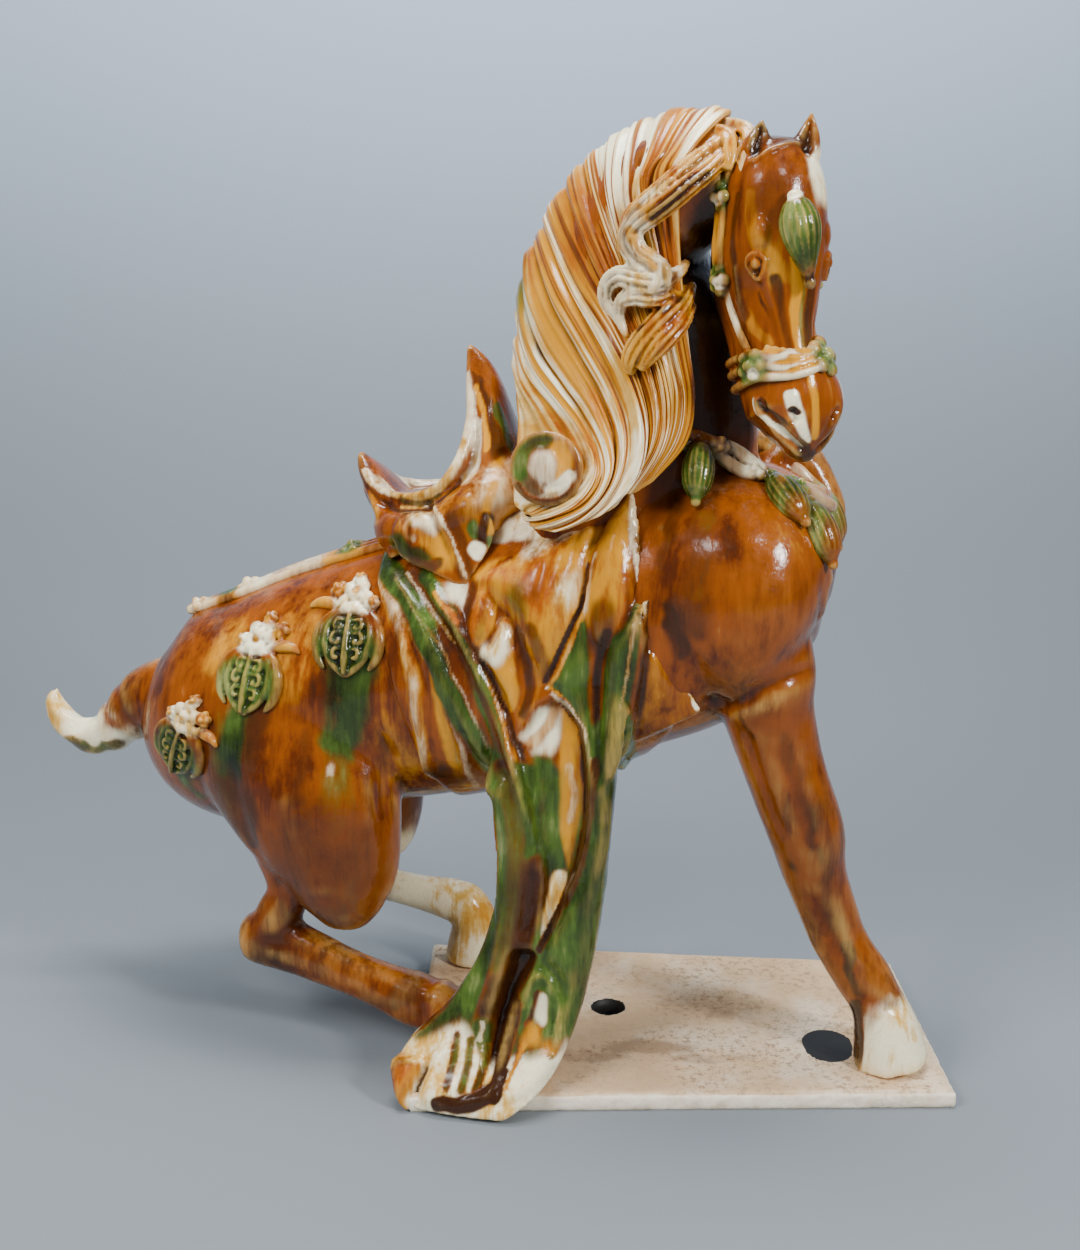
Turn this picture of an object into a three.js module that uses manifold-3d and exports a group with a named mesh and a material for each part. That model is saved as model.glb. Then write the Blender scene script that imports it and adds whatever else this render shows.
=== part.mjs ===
// A glazed pottery tomb horse: it sits back on its hocks with one foreleg raised and its head turned, on a slab.
// Millimetres, +Z up. The origin is the middle of the slab's underside, with +X along the slab.
import * as THREE from "three";
import { mergeVertices } from "three/addons/utils/BufferGeometryUtils.js";
import Module from "manifold-3d";

// Driving dimensions
const FIGURE_HEIGHT = 600; // horse alone, from the slab to the top of its crest
const PLINTH_LENGTH = 341;
const PLINTH_WIDTH_FRONT = 185; // the slab was cut by eye, so its two ends differ in width
const PLINTH_WIDTH_REAR = 222;
const PLINTH_THICKNESS = 12;
const VENT_DIAMETER = 22;
const VENT_AT = [-42, 16];
const FIGURE_AT = [-150, 35]; // the point on the slab under the origin of the figure's own grid
const FIGURE_TURN = -14; // degrees that the horse is turned from the slab's length
const JOINT_GAP = 0.3; // between the figure and the slab that it is luted to

// The figure is drawn on a grid of 600 units to its height: u forward, v to its left, z up from the slab.
const UNIT = FIGURE_HEIGHT / 600;
const CLAY = new THREE.MeshStandardMaterial({ color: 0xd9c3a5, roughness: 0.9, metalness: 0 });
const GLAZE = new THREE.MeshStandardMaterial({ color: 0xa8571a, roughness: 0.2, metalness: 0 });

const wasm = await Module();
wasm.setup();

const TAU = 2 * Math.PI;
const radians = (degrees) => (degrees * Math.PI) / 180;
const mix = (a, b, f) => a + (b - a) * f;
const clamp = (x, low, high) => Math.min(high, Math.max(low, x));
const smoothstep = (low, high, x) => {
  const f = clamp((x - low) / (high - low), 0, 1);
  return f * f * (3 - 2 * f);
};
const bump = (x, middle, width) => Math.exp(-(((x - middle) / width) ** 2));

// Reads rows of numbers at f from 0 to 1, on a smooth curve through them all.
function along(rows, f) {
  const last = rows.length - 1;
  const at = clamp(f, 0, 1) * last;
  const i = Math.min(Math.floor(at), last - 1);
  const x = at - i;
  const [p0, p1, p2, p3] = [i - 1, i, i + 1, i + 2].map((k) => rows[clamp(k, 0, last)]);
  return p1.map(
    (b, k) =>
      0.5 *
      (2 * b +
        (p2[k] - p0[k]) * x +
        (2 * p0[k] - 5 * b + 4 * p2[k] - p3[k]) * x * x +
        (3 * b - p0[k] - 3 * p2[k] + p3[k]) * x * x * x),
  );
}

function solidFrom(vertProperties, triVerts) {
  return new wasm.Manifold(new wasm.Mesh({ numProp: 3, vertProperties, triVerts }));
}

// Turns a closed geometry into a solid, with each of its points moved by a function.
function shaped(geometry, move) {
  geometry.deleteAttribute("normal");
  geometry.deleteAttribute("uv");
  const merged = mergeVertices(geometry, 1e-4);
  const position = merged.getAttribute("position");
  const p = new THREE.Vector3();
  for (let i = 0; i < position.count; i++) {
    const q = move(p.fromBufferAttribute(position, i));
    position.setXYZ(i, q.x, q.y, q.z);
  }
  const faces = new Uint32Array(merged.index.array);
  const made = solidFrom(position.array, faces);
  if (made.volume() > 0) return made;
  for (let i = 0; i < faces.length; i += 3) [faces[i], faces[i + 1]] = [faces[i + 1], faces[i]];
  return solidFrom(position.array, faces);
}

const joined = (solids) => solids.reduce((a, b) => a.add(b));

// A rounded limb or body. Each station is
// [u, v, z, half-width, radius above, radius below, how much narrower above (0 to 1), turn of its width in degrees].
class Limb {
  constructor(stations) {
    this.stations = stations.map((row) => [...row, 0, 0].slice(0, 8));
  }

  frame(f) {
    const here = along(this.stations, f);
    const ahead = new THREE.Vector3(...along(this.stations, Math.min(1, f + 0.004)));
    const behind = new THREE.Vector3(...along(this.stations, Math.max(0, f - 0.004)));
    const tangent = ahead.sub(behind).normalize();
    const turn = radians(here[7]);
    const side = new THREE.Vector3(-Math.sin(turn), Math.cos(turn), 0);
    side.addScaledVector(tangent, -side.dot(tangent)).normalize();
    return { here, side, up: new THREE.Vector3().crossVectors(tangent, side) };
  }

  // How far along the axis reaches a value of one coordinate (0 for u, 2 for z)
  find(coordinate, value) {
    const rising = this.stations.at(-1)[coordinate] > this.stations[0][coordinate];
    let [low, high] = [0, 1];
    for (let i = 0; i < 20; i++) {
      const middle = (low + high) / 2;
      if (along(this.stations, middle)[coordinate] < value === rising) low = middle;
      else high = middle;
    }
    return low;
  }

  // The surface point at f along and at an angle round: 0 is the left side, 90 above, 180 the right side.
  point(f, degrees, lift = 0, share = 1) {
    const { here, side, up } = this.frame(f);
    const [u, v, z, half, above, below, narrow] = here;
    const a = radians(degrees);
    const rise = Math.sin(a);
    const across = Math.cos(a) * (half * (1 - narrow * rise) + lift);
    const upward = rise * ((rise > 0 ? above : below) + lift);
    return new THREE.Vector3(u, v, z)
      .addScaledVector(side, across * share)
      .addScaledVector(up, upward * share);
  }

  // The point of its right side that is seen at u and z
  beside(u, z, lift = 0) {
    let f = this.find(0, u);
    let at = this.point(f, 180, lift);
    for (let i = 0; i < 8; i++) {
      const { here, up } = this.frame(f);
      const radius = (z > here[2] ? here[4] : here[5]) + lift;
      const rise = clamp((z - here[2]) / (up.z * radius), -0.99, 0.99);
      at = this.point(f, 180 - (Math.asin(rise) * 360) / TAU, lift);
      f = this.find(0, here[0] + u - at.x);
    }
    return at;
  }

  // The whole limb, or with a lift the band that wraps it between two places along
  solid(sides, steps, from = 0, to = 1, lift = () => 0) {
    return shaped(new THREE.CylinderGeometry(1, 1, 1, sides, steps), (p) => {
      const share = Math.hypot(p.x, p.z) > 0.5 ? 1 : 0;
      const degrees = (Math.atan2(p.z, p.x) * 360) / TAU;
      const f = 0.5 - p.y;
      return this.point(mix(from, to, f), degrees, lift(f), share);
    });
  }
}

// A round cord, lock or fold along hand-placed points, each [u, v, z, radius]
const cord = (points) => new Limb(points.map(([u, v, z, r]) => [u, v, z, r, r, r]));

// The same, laid on a limb along marks, each [f, angle, radius]
const cordOn = (limb, marks) => cord(marks.map(([f, angle, r]) => [...limb.point(f, angle), r]));

// A thick sheet: the function gives a point for s across (-1 to 1), t down (0 to 1) and outer or inner face.
function sheet(acrossSteps, downSteps, place) {
  return shaped(new THREE.BoxGeometry(2, 1, 1, acrossSteps, downSteps, 1), (p) =>
    place(p.x, 0.5 - p.y, p.z > 0),
  );
}

// A flattened ball with three half-sizes, its third axis set along a direction
function boss(at, outward, [half, tall, deep], sides = 10) {
  const z = outward.clone().normalize();
  const x = new THREE.Vector3(0, 0, 1).cross(z).normalize();
  const turn = new THREE.Matrix4().makeBasis(x, new THREE.Vector3().crossVectors(z, x), z);
  return shaped(new THREE.SphereGeometry(1, sides, Math.max(4, sides / 2)), (p) =>
    p.clone().multiply(new THREE.Vector3(half, tall, deep)).applyMatrix4(turn).add(at),
  );
}

// Trunk, rising from the rump to the breast
const trunk = new Limb([
  [-222, 0, 205, 8, 8, 8],
  [-210, 0, 202, 42, 42, 48],
  [-175, 0, 202, 68, 72, 78],
  [-120, 0, 212, 80, 82, 88],
  [-60, 0, 232, 82, 86, 88],
  [0, 0, 250, 80, 88, 92, 0.08],
  [60, 0, 268, 79, 94, 94, 0.12],
  [120, 0, 288, 79, 96, 90, 0.12],
  [170, 0, 303, 80, 90, 84],
  [215, 0, 312, 66, 76, 64],
  [243, 0, 312, 38, 48, 38],
  [252, 0, 311, 6, 8, 6],
]);
const breast = new Limb([
  [138, -22, 282, 30, 40, 24],
  [168, -26, 303, 54, 74, 62],
  [205, -30, 311, 59, 74, 66],
  [234, -30, 312, 44, 54, 40],
  [250, -29, 310, 10, 14, 12],
]);

// Neck, arched and turned to the right
const neck = new Limb([
  [72, 0, 300, 60, 40, 76, 0.1, 0],
  [92, 0, 350, 60, 46, 104, 0.15, 0],
  [106, -1, 400, 50, 46, 98, 0.2, -4],
  [110, -4, 450, 43, 50, 87, 0.25, -10],
  [114, -11, 500, 39, 50, 76, 0.25, -20],
  [132, -24, 541, 36, 41, 56, 0.2, -35],
  [164, -41, 560, 33, 25, 44, 0.1, -48],
  [192, -52, 562, 26, 19, 34, 0, -52],
]);

// Head, from the poll down to the chin
const HEAD_TURN = -52;
const head = new Limb(
  [
    [203, -50, 574, 8, 6, 8],
    [205, -52, 568, 21, 18, 24],
    [210, -56, 554, 28, 28, 34],
    [212, -57, 534, 30, 31, 38],
    [212, -57, 510, 31, 32, 40],
    [213, -58, 488, 27, 29, 38],
    [215, -61, 468, 23, 26, 33],
    [219, -64, 449, 24, 25, 30],
    [229, -66, 430, 29, 24, 29],
    [233, -70, 415, 20, 17, 21],
    [235, -72, 404, 10, 9, 12],
    [237, -73, 397, 3, 3, 3],
  ].map((row) => [...row, 0, HEAD_TURN]),
);
const ears = [
  [
    [200, -62, 556, 8],
    [199, -64, 567, 8.5],
    [197, -64, 578, 5],
    [196, -62, 589, 1],
  ],
  [
    [226, -44, 556, 8],
    [229, -43, 568, 8],
    [229, -42, 580, 5],
    [228, -41, 592, 1],
  ],
].map((points) => cord(points));

// The four legs, each from the body down
const nearForeleg = new Limb([
  [200, -34, 305, 30, 34, 34],
  [212, -36, 262, 33, 34, 32],
  [217, -35, 235, 28, 29, 28],
  [228, -33, 198, 24, 26, 25],
  [243, -30, 157, 23, 25, 24],
  [249, -29, 133, 20, 20, 21],
  [257, -27, 109, 17, 19, 19],
  [268, -25, 82, 16, 18, 18],
  [282, -23, 59, 18, 19, 18],
  [291, -23, 44, 18, 18, 17],
  [298, -23, 26, 21, 22, 20],
  [302, -23, -2, 25, 26, 23],
]);
const raisedForearm = new Limb([
  [182, 40, 300, 32, 44, 44],
  [204, 51, 360, 25, 29, 29],
  [219, 53, 384, 18, 17, 19],
  [233, 50, 372, 14, 14, 16],
  [243, 46, 351, 13, 13, 15],
  [246, 44, 336, 7, 7, 7],
]);
const raisedCannon = new Limb([
  [246, 45, 352, 8, 8, 8],
  [242, 44, 341, 13, 12, 13],
  [234, 42, 326, 12, 12, 12],
  [222, 41, 312, 15, 15, 15],
  [212, 40, 298, 16, 17, 17],
]);
const nearThigh = new Limb([
  [-128, -30, 245, 40, 56, 58],
  [-104, -44, 205, 42, 70, 72],
  [-76, -58, 158, 38, 62, 62],
  [-60, -63, 122, 31, 44, 46],
  [-56, -64, 95, 24, 29, 33],
  [-56, -63, 77, 13, 14, 16],
]);
const nearGaskin = new Limb([
  [-105, -50, 165, 28, 30, 36],
  [-106, -56, 128, 20, 20, 20],
  [-98, -60, 98, 16, 15, 15],
  [-106, -62, 77, 16, 16, 16],
  [-113, -62, 60, 16, 18, 17],
  [-114, -62, 52, 8, 8, 8],
]);
const nearHindCannon = new Limb([
  [-134, -62, 60, 6, 6, 6],
  [-127, -62, 60, 16, 17, 17],
  [-106, -62, 57, 17, 19, 19],
  [-82, -61, 49, 15, 17, 17],
  [-56, -60, 40, 14, 15, 16],
  [-30, -59, 31, 15, 16, 17],
  [-10, -58, 24, 17, 19, 19],
  [6, -57, 20, 15, 16, 15],
  [12, -57, 18, 6, 6, 6],
]);
const nearHindHoof = new Limb([
  [0, -58, 32, 14, 13, 13],
  [12, -60, 20, 18, 18, 17],
  [18, -62, -2, 22, 24, 21],
]);
const farThigh = new Limb([
  [-130, 30, 245, 40, 56, 58],
  [-112, 44, 205, 42, 66, 68],
  [-94, 56, 158, 38, 56, 58],
  [-80, 60, 122, 31, 40, 44],
  [-74, 60, 95, 24, 26, 30],
  [-74, 60, 78, 13, 13, 15],
]);
const farGaskin = new Limb([
  [-110, 48, 165, 28, 30, 36],
  [-114, 54, 128, 20, 20, 20],
  [-110, 57, 98, 16, 15, 15],
  [-117, 58, 82, 16, 16, 16],
  [-122, 58, 68, 16, 17, 16],
  [-122, 58, 60, 8, 8, 8],
]);
const farHindCannon = new Limb([
  [-140, 58, 66, 6, 6, 6],
  [-134, 58, 66, 15, 16, 16],
  [-112, 57, 62, 15, 17, 17],
  [-90, 56, 57, 13, 14, 14],
  [-62, 56, 53, 12, 12.5, 12.5],
  [-38, 57, 49, 13, 14, 14],
  [-20, 58, 46, 15, 16, 16],
  [-8, 58, 43, 13, 12, 12],
]);
const farHindHoof = new Limb([
  [-20, 58, 56, 8, 8, 8],
  [-12, 58, 47, 15, 16, 16],
  [-4, 59, 32, 17, 18, 16],
  [-3, 60, 18, 20, 22, 20],
  [-3, 60, -2, 23, 27, 23],
]);
const tail = new Limb([
  [-205, 0, 217, 22, 22, 22],
  [-226, 0, 206, 22, 25, 25],
  [-244, 0, 191, 18, 21, 21],
  [-263, 0, 176, 14, 16, 16],
  [-281, 0, 173, 11, 12.5, 12.5],
  [-297, 0, 182, 9, 10, 10],
  [-305, 0, 197, 7, 7, 7],
  [-301, 0, 207, 2, 2, 2],
]);

// Saddle: a seat between a tall pommel and a leaning cantle
const pommel = new Limb([
  [36, 0, 340, 60, 16, 16],
  [35, 0, 378, 42, 14, 14],
  [31, 0, 408, 26, 12, 13],
  [26, 0, 430, 16, 10, 11],
  [20, 0, 446, 8, 7, 8],
  [15, 0, 458, 2, 2, 2],
]);
const cantle = new Limb([
  [-22, 0, 325, 50, 12, 14],
  [-34, 0, 348, 40, 10, 11],
  [-46, 0, 364, 26, 8, 9],
  [-56, 0, 376, 13, 6, 7],
  [-62, 0, 386, 2.5, 2, 3],
]);
const seat = new Limb([
  [-34, 0, 326, 40, 20, 20],
  [-24, 0, 336, 52, 26, 20],
  [-8, 0, 343, 57, 23, 20],
  [8, 0, 348, 59, 25, 20],
  [24, 0, 354, 58, 34, 20],
  [42, 0, 360, 52, 34, 20],
  [56, 0, 362, 40, 26, 20],
]);
const DISC_RADIUS = 19;
const saddleDiscs = [-60, 50].map((v) =>
  boss(new THREE.Vector3(82, v, 388), new THREE.Vector3(0, v, 8), [DISC_RADIUS, DISC_RADIUS, 13], 8),
);

// Mane: its strands fall from the crest over the right side, each guide running down the neck.
const MANE_GUIDES = [
  [
    [160, -18, 589],
    [98, 4, 562],
    [62, 20, 510],
    [60, 22, 446],
    [84, -16, 402],
  ],
  [
    [166, -38, 594],
    [98, -20, 570],
    [50, -4, 513],
    [47, -10, 445],
    [72, -60, 392],
  ],
  [
    [175, -50, 590],
    [114, -46, 553],
    [82, -42, 486],
    [92, -60, 412],
    [100, -84, 352],
  ],
  [
    [181, -58, 586],
    [140, -66, 545],
    [116, -62, 484],
    [127, -74, 411],
    [120, -86, 352],
  ],
  [
    [189, -62, 581],
    [160, -76, 542],
    [145, -72, 484],
    [152, -78, 414],
    [137, -86, 356],
  ],
  [
    [195, -60, 577],
    [174, -68, 539],
    [166, -56, 484],
    [169, -58, 416],
    [150, -76, 366],
  ],
];
const MANE_STRANDS = 9;
const MANE_RELIEF = 2.6;
function manePlace(s, t, outer) {
  const across = (s + 1) / 2;
  const at = new THREE.Vector3(...along(MANE_GUIDES.map((guide) => along(guide, t)), across));
  const axis = new THREE.Vector3(...neck.frame(neck.find(2, Math.min(at.z, 555))).here);
  if (!outer) return axis.lerp(at, 0.5);
  const fade = smoothstep(0, 0.12, across) * smoothstep(1, 0.9, across);
  const strand = Math.abs(Math.sin(across * MANE_STRANDS * Math.PI));
  const outward = at.clone().sub(axis).normalize();
  return at.addScaledVector(outward, fade * MANE_RELIEF * (2 * strand - 1));
}
const hook = cord([
  [124, -80, 392, 9],
  [120, -86, 372, 10],
  [109, -88, 358, 10],
  [94, -86, 350, 9],
  [80, -80, 350, 7],
  [70, -74, 356, 3],
]);
const curls = [
  [
    [184, -64, 566, 8],
    [172, -76, 553, 9],
    [156, -84, 545, 8],
    [144, -86, 534, 7],
    [148, -84, 522, 6],
    [158, -80, 515, 3],
  ],
  [
    [163, -68, 520, 8],
    [158, -76, 505, 9],
    [146, -82, 498, 8],
    [136, -82, 490, 7],
    [134, -80, 480, 4],
  ],
  [
    [170, -60, 486, 8],
    [166, -70, 472, 9],
    [156, -78, 460, 8],
    [147, -80, 450, 6],
    [142, -80, 442, 3],
  ],
].map(cord);
const forelock = cord([
  [206, -46, 576, 10],
  [184, -48, 582, 12],
  [160, -38, 582, 13],
  [140, -26, 572, 12],
]);

// Saddle cloth: it hugs the trunk on both sides, with a raised hem behind and folds drawn to the drape.
const CLOTH_REACH = 172; // degrees down each side from the spine
const CLOTH_THICKNESS = 3;
const CLOTH_BACK = trunk.find(0, -16);
const CLOTH_FRONT = [112, 150, 140, 122, 100, 122, 140, 152, 112]; // where it ends in front, from left to right
function clothPlace(s, t, outer) {
  const degrees = 90 - CLOTH_REACH * s;
  const [front] = along(CLOTH_FRONT.map((u) => [u]), (1 - s) / 2);
  const f = mix(CLOTH_BACK, trunk.find(0, front), t);
  if (!outer) return trunk.point(f, degrees, -8);
  const hem = bump(t, 0.03, 0.06) + bump(t, 0.2, 0.05);
  const folds = 1.5 * Math.sin(t * 22 + degrees / 40) * smoothstep(0.3, 0.5, t) * smoothstep(1, 0.9, t);
  return trunk.point(f, degrees, CLOTH_THICKNESS + 2 * hem + folds);
}
// A fold lying on the right of the trunk along marks, each [u, z, radius]
const foldBeside = (marks) =>
  cord(marks.map(([u, z, r]) => [...trunk.beside(u, z, CLOTH_THICKNESS), r])).solid(5, 6);
const flap = foldBeside([
  [146, 330, 5],
  [152, 296, 6],
  [164, 264, 6],
  [178, 242, 5],
]);

// Drape: the cloth's tail, gathered on the right side, falls over the slab's corner.
// Each row is [left u, v, z, right u, v, z, thickness].
const DRAPE = [
  [26, -80, 262, 136, -82, 268, 8],
  [54, -84, 222, 132, -83, 234, 10],
  [58, -87, 189, 127, -85, 200, 15],
  [62, -90, 151, 122, -88, 160, 17],
  [60, -94, 119, 118, -91, 122, 18],
  [49, -100, 82, 113, -96, 80, 20],
  [26, -107, 48, 106, -103, 40, 30],
  [2, -117, 22, 100, -117, 16, 44],
  [-4, -128, 4, 88, -132, 2, 52],
  [4, -135, -10, 72, -138, -10, 56],
];
const DRAPE_FOLDS = 3;
const DRAPE_RELIEF = 4.5;
function drapePlace(s, t, outer) {
  const [leftU, leftV, leftZ, rightU, rightV, rightZ, thick] = along(DRAPE, t);
  const f = (s + 1) / 2;
  const at = new THREE.Vector3(mix(leftU, rightU, f), mix(leftV, rightV, f), mix(leftZ, rightZ, f));
  const round = Math.sqrt(1 - 0.96 * s * s);
  const fold = Math.cos((f + 0.06 * Math.sin(t * 5)) * DRAPE_FOLDS * TAU) * DRAPE_RELIEF;
  at.y += outer ? 4 - 4 * round - fold * round * smoothstep(0, 0.15, t) : 8 + thick * round;
  return at;
}
const bands = [
  [
    [-38, 326, 5],
    [-12, 306, 7],
    [16, 278, 7.5],
    [38, 250, 7.5],
    [56, 218, 7],
    [62, 192, 5],
  ],
  [
    [-16, 330, 5],
    [12, 302, 6.5],
    [40, 268, 7],
    [62, 240, 7],
    [72, 205, 5],
  ],
  [
    [132, 345, 5],
    [128, 310, 6],
    [112, 275, 7],
    [96, 250, 7],
    [92, 226, 5],
  ],
  [
    [146, 340, 5],
    [144, 300, 6],
    [138, 262, 7],
    [130, 225, 7],
    [126, 196, 5],
  ],
].map(foldBeside);

// Harness, with budded tassels round the breast
const breastStrap = cord([
  [156, -46, 405, 5],
  [174, -44, 400, 6],
  [194, -41, 393, 6],
  [214, -33, 384, 6],
  [232, -20, 372, 6],
  [243, -2, 360, 6],
  [240, 20, 360, 6],
  [226, 38, 370, 6],
  [202, 50, 384, 6],
  [174, 50, 396, 6],
  [154, 38, 402, 5],
]);
const TASSEL_PROFILE = [
  [0, 3],
  [0.2, 8],
  [0.55, 11],
  [0.85, 8],
  [1, 2],
];
const TASSEL_LENGTH = 36;
function tassel([u, v, z], [leanU, leanV], length = TASSEL_LENGTH) {
  return new Limb(
    TASSEL_PROFILE.map(([f, r]) => {
      const size = (r * length) / 34;
      return [u + leanU * f, v + leanV * f, z - length * f, size, size * 0.8, size * 0.8];
    }),
  );
}
const tassels = [
  tassel([174, -48, 402], [0, -17]),
  tassel([218, -34, 386], [7, -16]),
  tassel([242, -12, 368], [6, -7]),
  tassel([238, 26, 368], [5, 9]),
  tassel([208, 52, 386], [2, 16]),
];

// Croup straps, each ending in a flower above a leafed shield
// Each place is [u of the strap, then u and z of its flower and of its shield].
const CROUP_PLACES = [
  [-66, -52, 306, -46, 277],
  [-136, -128, 274, -117, 244],
  [-188, -182, 224, -170, 187],
];
function ornament(u, z, size, sides) {
  const at = trunk.beside(u, z, 1);
  return boss(at, trunk.beside(u, z, 12).sub(at), size, sides);
}
const plainPendant = ([, flowerU, flowerZ, shieldU, shieldZ]) =>
  ornament(flowerU, flowerZ, [13, 13, 8], 6).add(ornament(shieldU, shieldZ, [19, 20, 9], 8));
function pendant(place) {
  const [, flowerU, flowerZ, shieldU, shieldZ] = place;
  const [leafU, leafZ] = [mix(flowerU, shieldU, 0.4), mix(flowerZ, shieldZ, 0.5)];
  const leaves = [-15, 15].map((side) => ornament(leafU + side, leafZ, [8, 7, 6], 6));
  return joined([plainPendant(place), ...leaves]);
}
const crupper = cordOn(
  trunk,
  [-40, -90, -140, -190, -212].map((u) => [trunk.find(0, u), 90, 8]),
);
const croupStraps = CROUP_PLACES.flatMap(([u]) =>
  [1, -1].map((way) =>
    cordOn(trunk, [8, 26, 42].map((drop) => [trunk.find(0, u) + drop / 3000, 90 + way * drop, 5])),
  ),
);
// Bridle: bands and rosettes on the head, and a tassel on the forehead
const NOSEBAND_Z = 452;
const BAND_HALF = 8;
const noseband = head.solid(12, 4, head.find(2, NOSEBAND_Z + BAND_HALF), head.find(2, NOSEBAND_Z - BAND_HALF), (f) =>
  3 + 1.5 * Math.cos(f * 3 * TAU),
);
const rosette = (z, degrees, size) => {
  const f = head.find(2, z);
  const at = head.point(f, degrees, 2);
  return boss(at, head.point(f, degrees, 20).sub(at), [size, size, 5], 6);
};
const rosettes = [
  [540, 188],
  [500, 190],
  [NOSEBAND_Z, 158],
  [NOSEBAND_Z, 30],
].map(([z, degrees]) => rosette(z, degrees, 8));
const cheekStrap = cordOn(
  head,
  [
    [540, 188],
    [515, 190],
    [485, 188],
    [NOSEBAND_Z, 158],
  ].map(([z, degrees]) => [head.find(2, z), degrees, 4]),
);
const foreheadTassel = tassel([229, -80, 548], [8, -4], 52);

const figure = joined([
  trunk.solid(20, 14),
  breast.solid(14, 6),
  neck.solid(12, 8),
  head.solid(14, 13),
  ...ears.map((ear) => ear.solid(5, 3)),
  nearForeleg.solid(10, 12),
  raisedForearm.solid(8, 5),
  raisedCannon.solid(8, 8),
  ...[nearThigh, farThigh].map((limb) => limb.solid(12, 7)),
  ...[nearGaskin, farGaskin].map((limb) => limb.solid(8, 5)),
  ...[nearHindCannon, farHindCannon].map((limb) => limb.solid(8, 8)),
  nearHindHoof.solid(9, 2),
  farHindHoof.solid(9, 4),
  tail.solid(8, 9),
  pommel.solid(10, 6),
  cantle.solid(10, 5),
  seat.solid(12, 6),
  ...saddleDiscs,
  sheet(MANE_STRANDS * 2, 7, manePlace),
  hook.solid(6, 6),
  ...curls.map((curl) => curl.solid(5, 5)),
  forelock.solid(6, 3),
  sheet(14, 8, clothPlace),
  flap,
  sheet(DRAPE_FOLDS * 4, 11, drapePlace),
  ...bands,
  breastStrap.solid(5, 10),
  ...tassels.map((bud) => bud.solid(6, 4)),
  ...CROUP_PLACES.map(pendant),
  ...CROUP_PLACES.map(plainPendant).map((solid) => solid.mirror([0, 1, 0])),
  crupper.solid(6, 6),
  ...croupStraps.map((strap) => strap.solid(4, 3)),
  noseband,
  ...rosettes,
  cheekStrap.solid(4, 4),
  foreheadTassel.solid(6, 4),
]);

// The slab, or with a gap the larger space that the figure is kept out of
function plinthSolid(gap) {
  const half = PLINTH_LENGTH / 2 + gap;
  const front = PLINTH_WIDTH_FRONT / 2 + gap;
  const rear = PLINTH_WIDTH_REAR - PLINTH_WIDTH_FRONT / 2 + gap;
  const outline = new THREE.Shape([
    new THREE.Vector2(-half - 2, -front - 9),
    new THREE.Vector2(half - 2, -front - 4),
    new THREE.Vector2(half + 2, front - 4),
    new THREE.Vector2(-half + 5, rear - 9),
  ]);
  if (!gap) outline.holes.push(new THREE.Path().absarc(...VENT_AT, VENT_DIAMETER / 2, 0, TAU, true));
  const slab = new THREE.ExtrudeGeometry(outline, {
    depth: PLINTH_THICKNESS + gap * 2,
    bevelEnabled: false,
    curveSegments: 16,
  });
  return shaped(slab.translate(0, 0, -gap), (p) => p.clone());
}

const onSlab = new THREE.Matrix4()
  .makeTranslation(...FIGURE_AT, PLINTH_THICKNESS)
  .multiply(new THREE.Matrix4().makeRotationZ(radians(FIGURE_TURN)))
  .multiply(new THREE.Matrix4().makeScale(UNIT, UNIT, UNIT));
const FACET_TOLERANCE = 1.5; // facets closer to their neighbours than this are merged
const [horse] = figure
  .simplify(FACET_TOLERANCE)
  .transform(onSlab.elements)
  .subtract(plinthSolid(JOINT_GAP))
  .decompose()
  .sort((a, b) => b.volume() - a.volume());

function meshOf(solid, name, material) {
  const { vertProperties, triVerts } = solid.getMesh();
  const geometry = new THREE.BufferGeometry()
    .setAttribute("position", new THREE.BufferAttribute(vertProperties, 3))
    .setIndex(new THREE.BufferAttribute(triVerts, 1));
  geometry.computeVertexNormals();
  const mesh = new THREE.Mesh(geometry, material);
  mesh.name = name;
  return mesh;
}

const group = new THREE.Group();
group.add(meshOf(plinthSolid(0), "plinth", CLAY));
group.add(meshOf(horse, "horse", GLAZE));

export default group;
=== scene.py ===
"""A glazed pottery tomb horse on its slab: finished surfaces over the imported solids, in metres."""

import copy
import math

import bmesh
import bpy
import numpy as np
from bpy.props import FloatProperty, FloatVectorProperty, PointerProperty
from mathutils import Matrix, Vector, noise
from mathutils.bvhtree import BVHTree


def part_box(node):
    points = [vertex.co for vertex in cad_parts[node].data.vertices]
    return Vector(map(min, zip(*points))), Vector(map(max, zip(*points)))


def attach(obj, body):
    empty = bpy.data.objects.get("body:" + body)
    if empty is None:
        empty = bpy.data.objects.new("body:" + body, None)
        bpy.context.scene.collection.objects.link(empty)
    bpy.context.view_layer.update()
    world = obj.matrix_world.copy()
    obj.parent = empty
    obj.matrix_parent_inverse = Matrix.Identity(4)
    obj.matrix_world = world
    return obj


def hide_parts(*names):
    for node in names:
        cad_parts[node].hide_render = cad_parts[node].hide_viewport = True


bl_info = {
    "name": "Tomb Horse",
    "version": (1, 0, 0),
    "blender": (4, 5, 0),
    "location": "View3D > Sidebar > Horse",
    "description": "Models and glazes a pottery tomb horse over its packed solids",
    "category": "Add Mesh",
}

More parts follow.
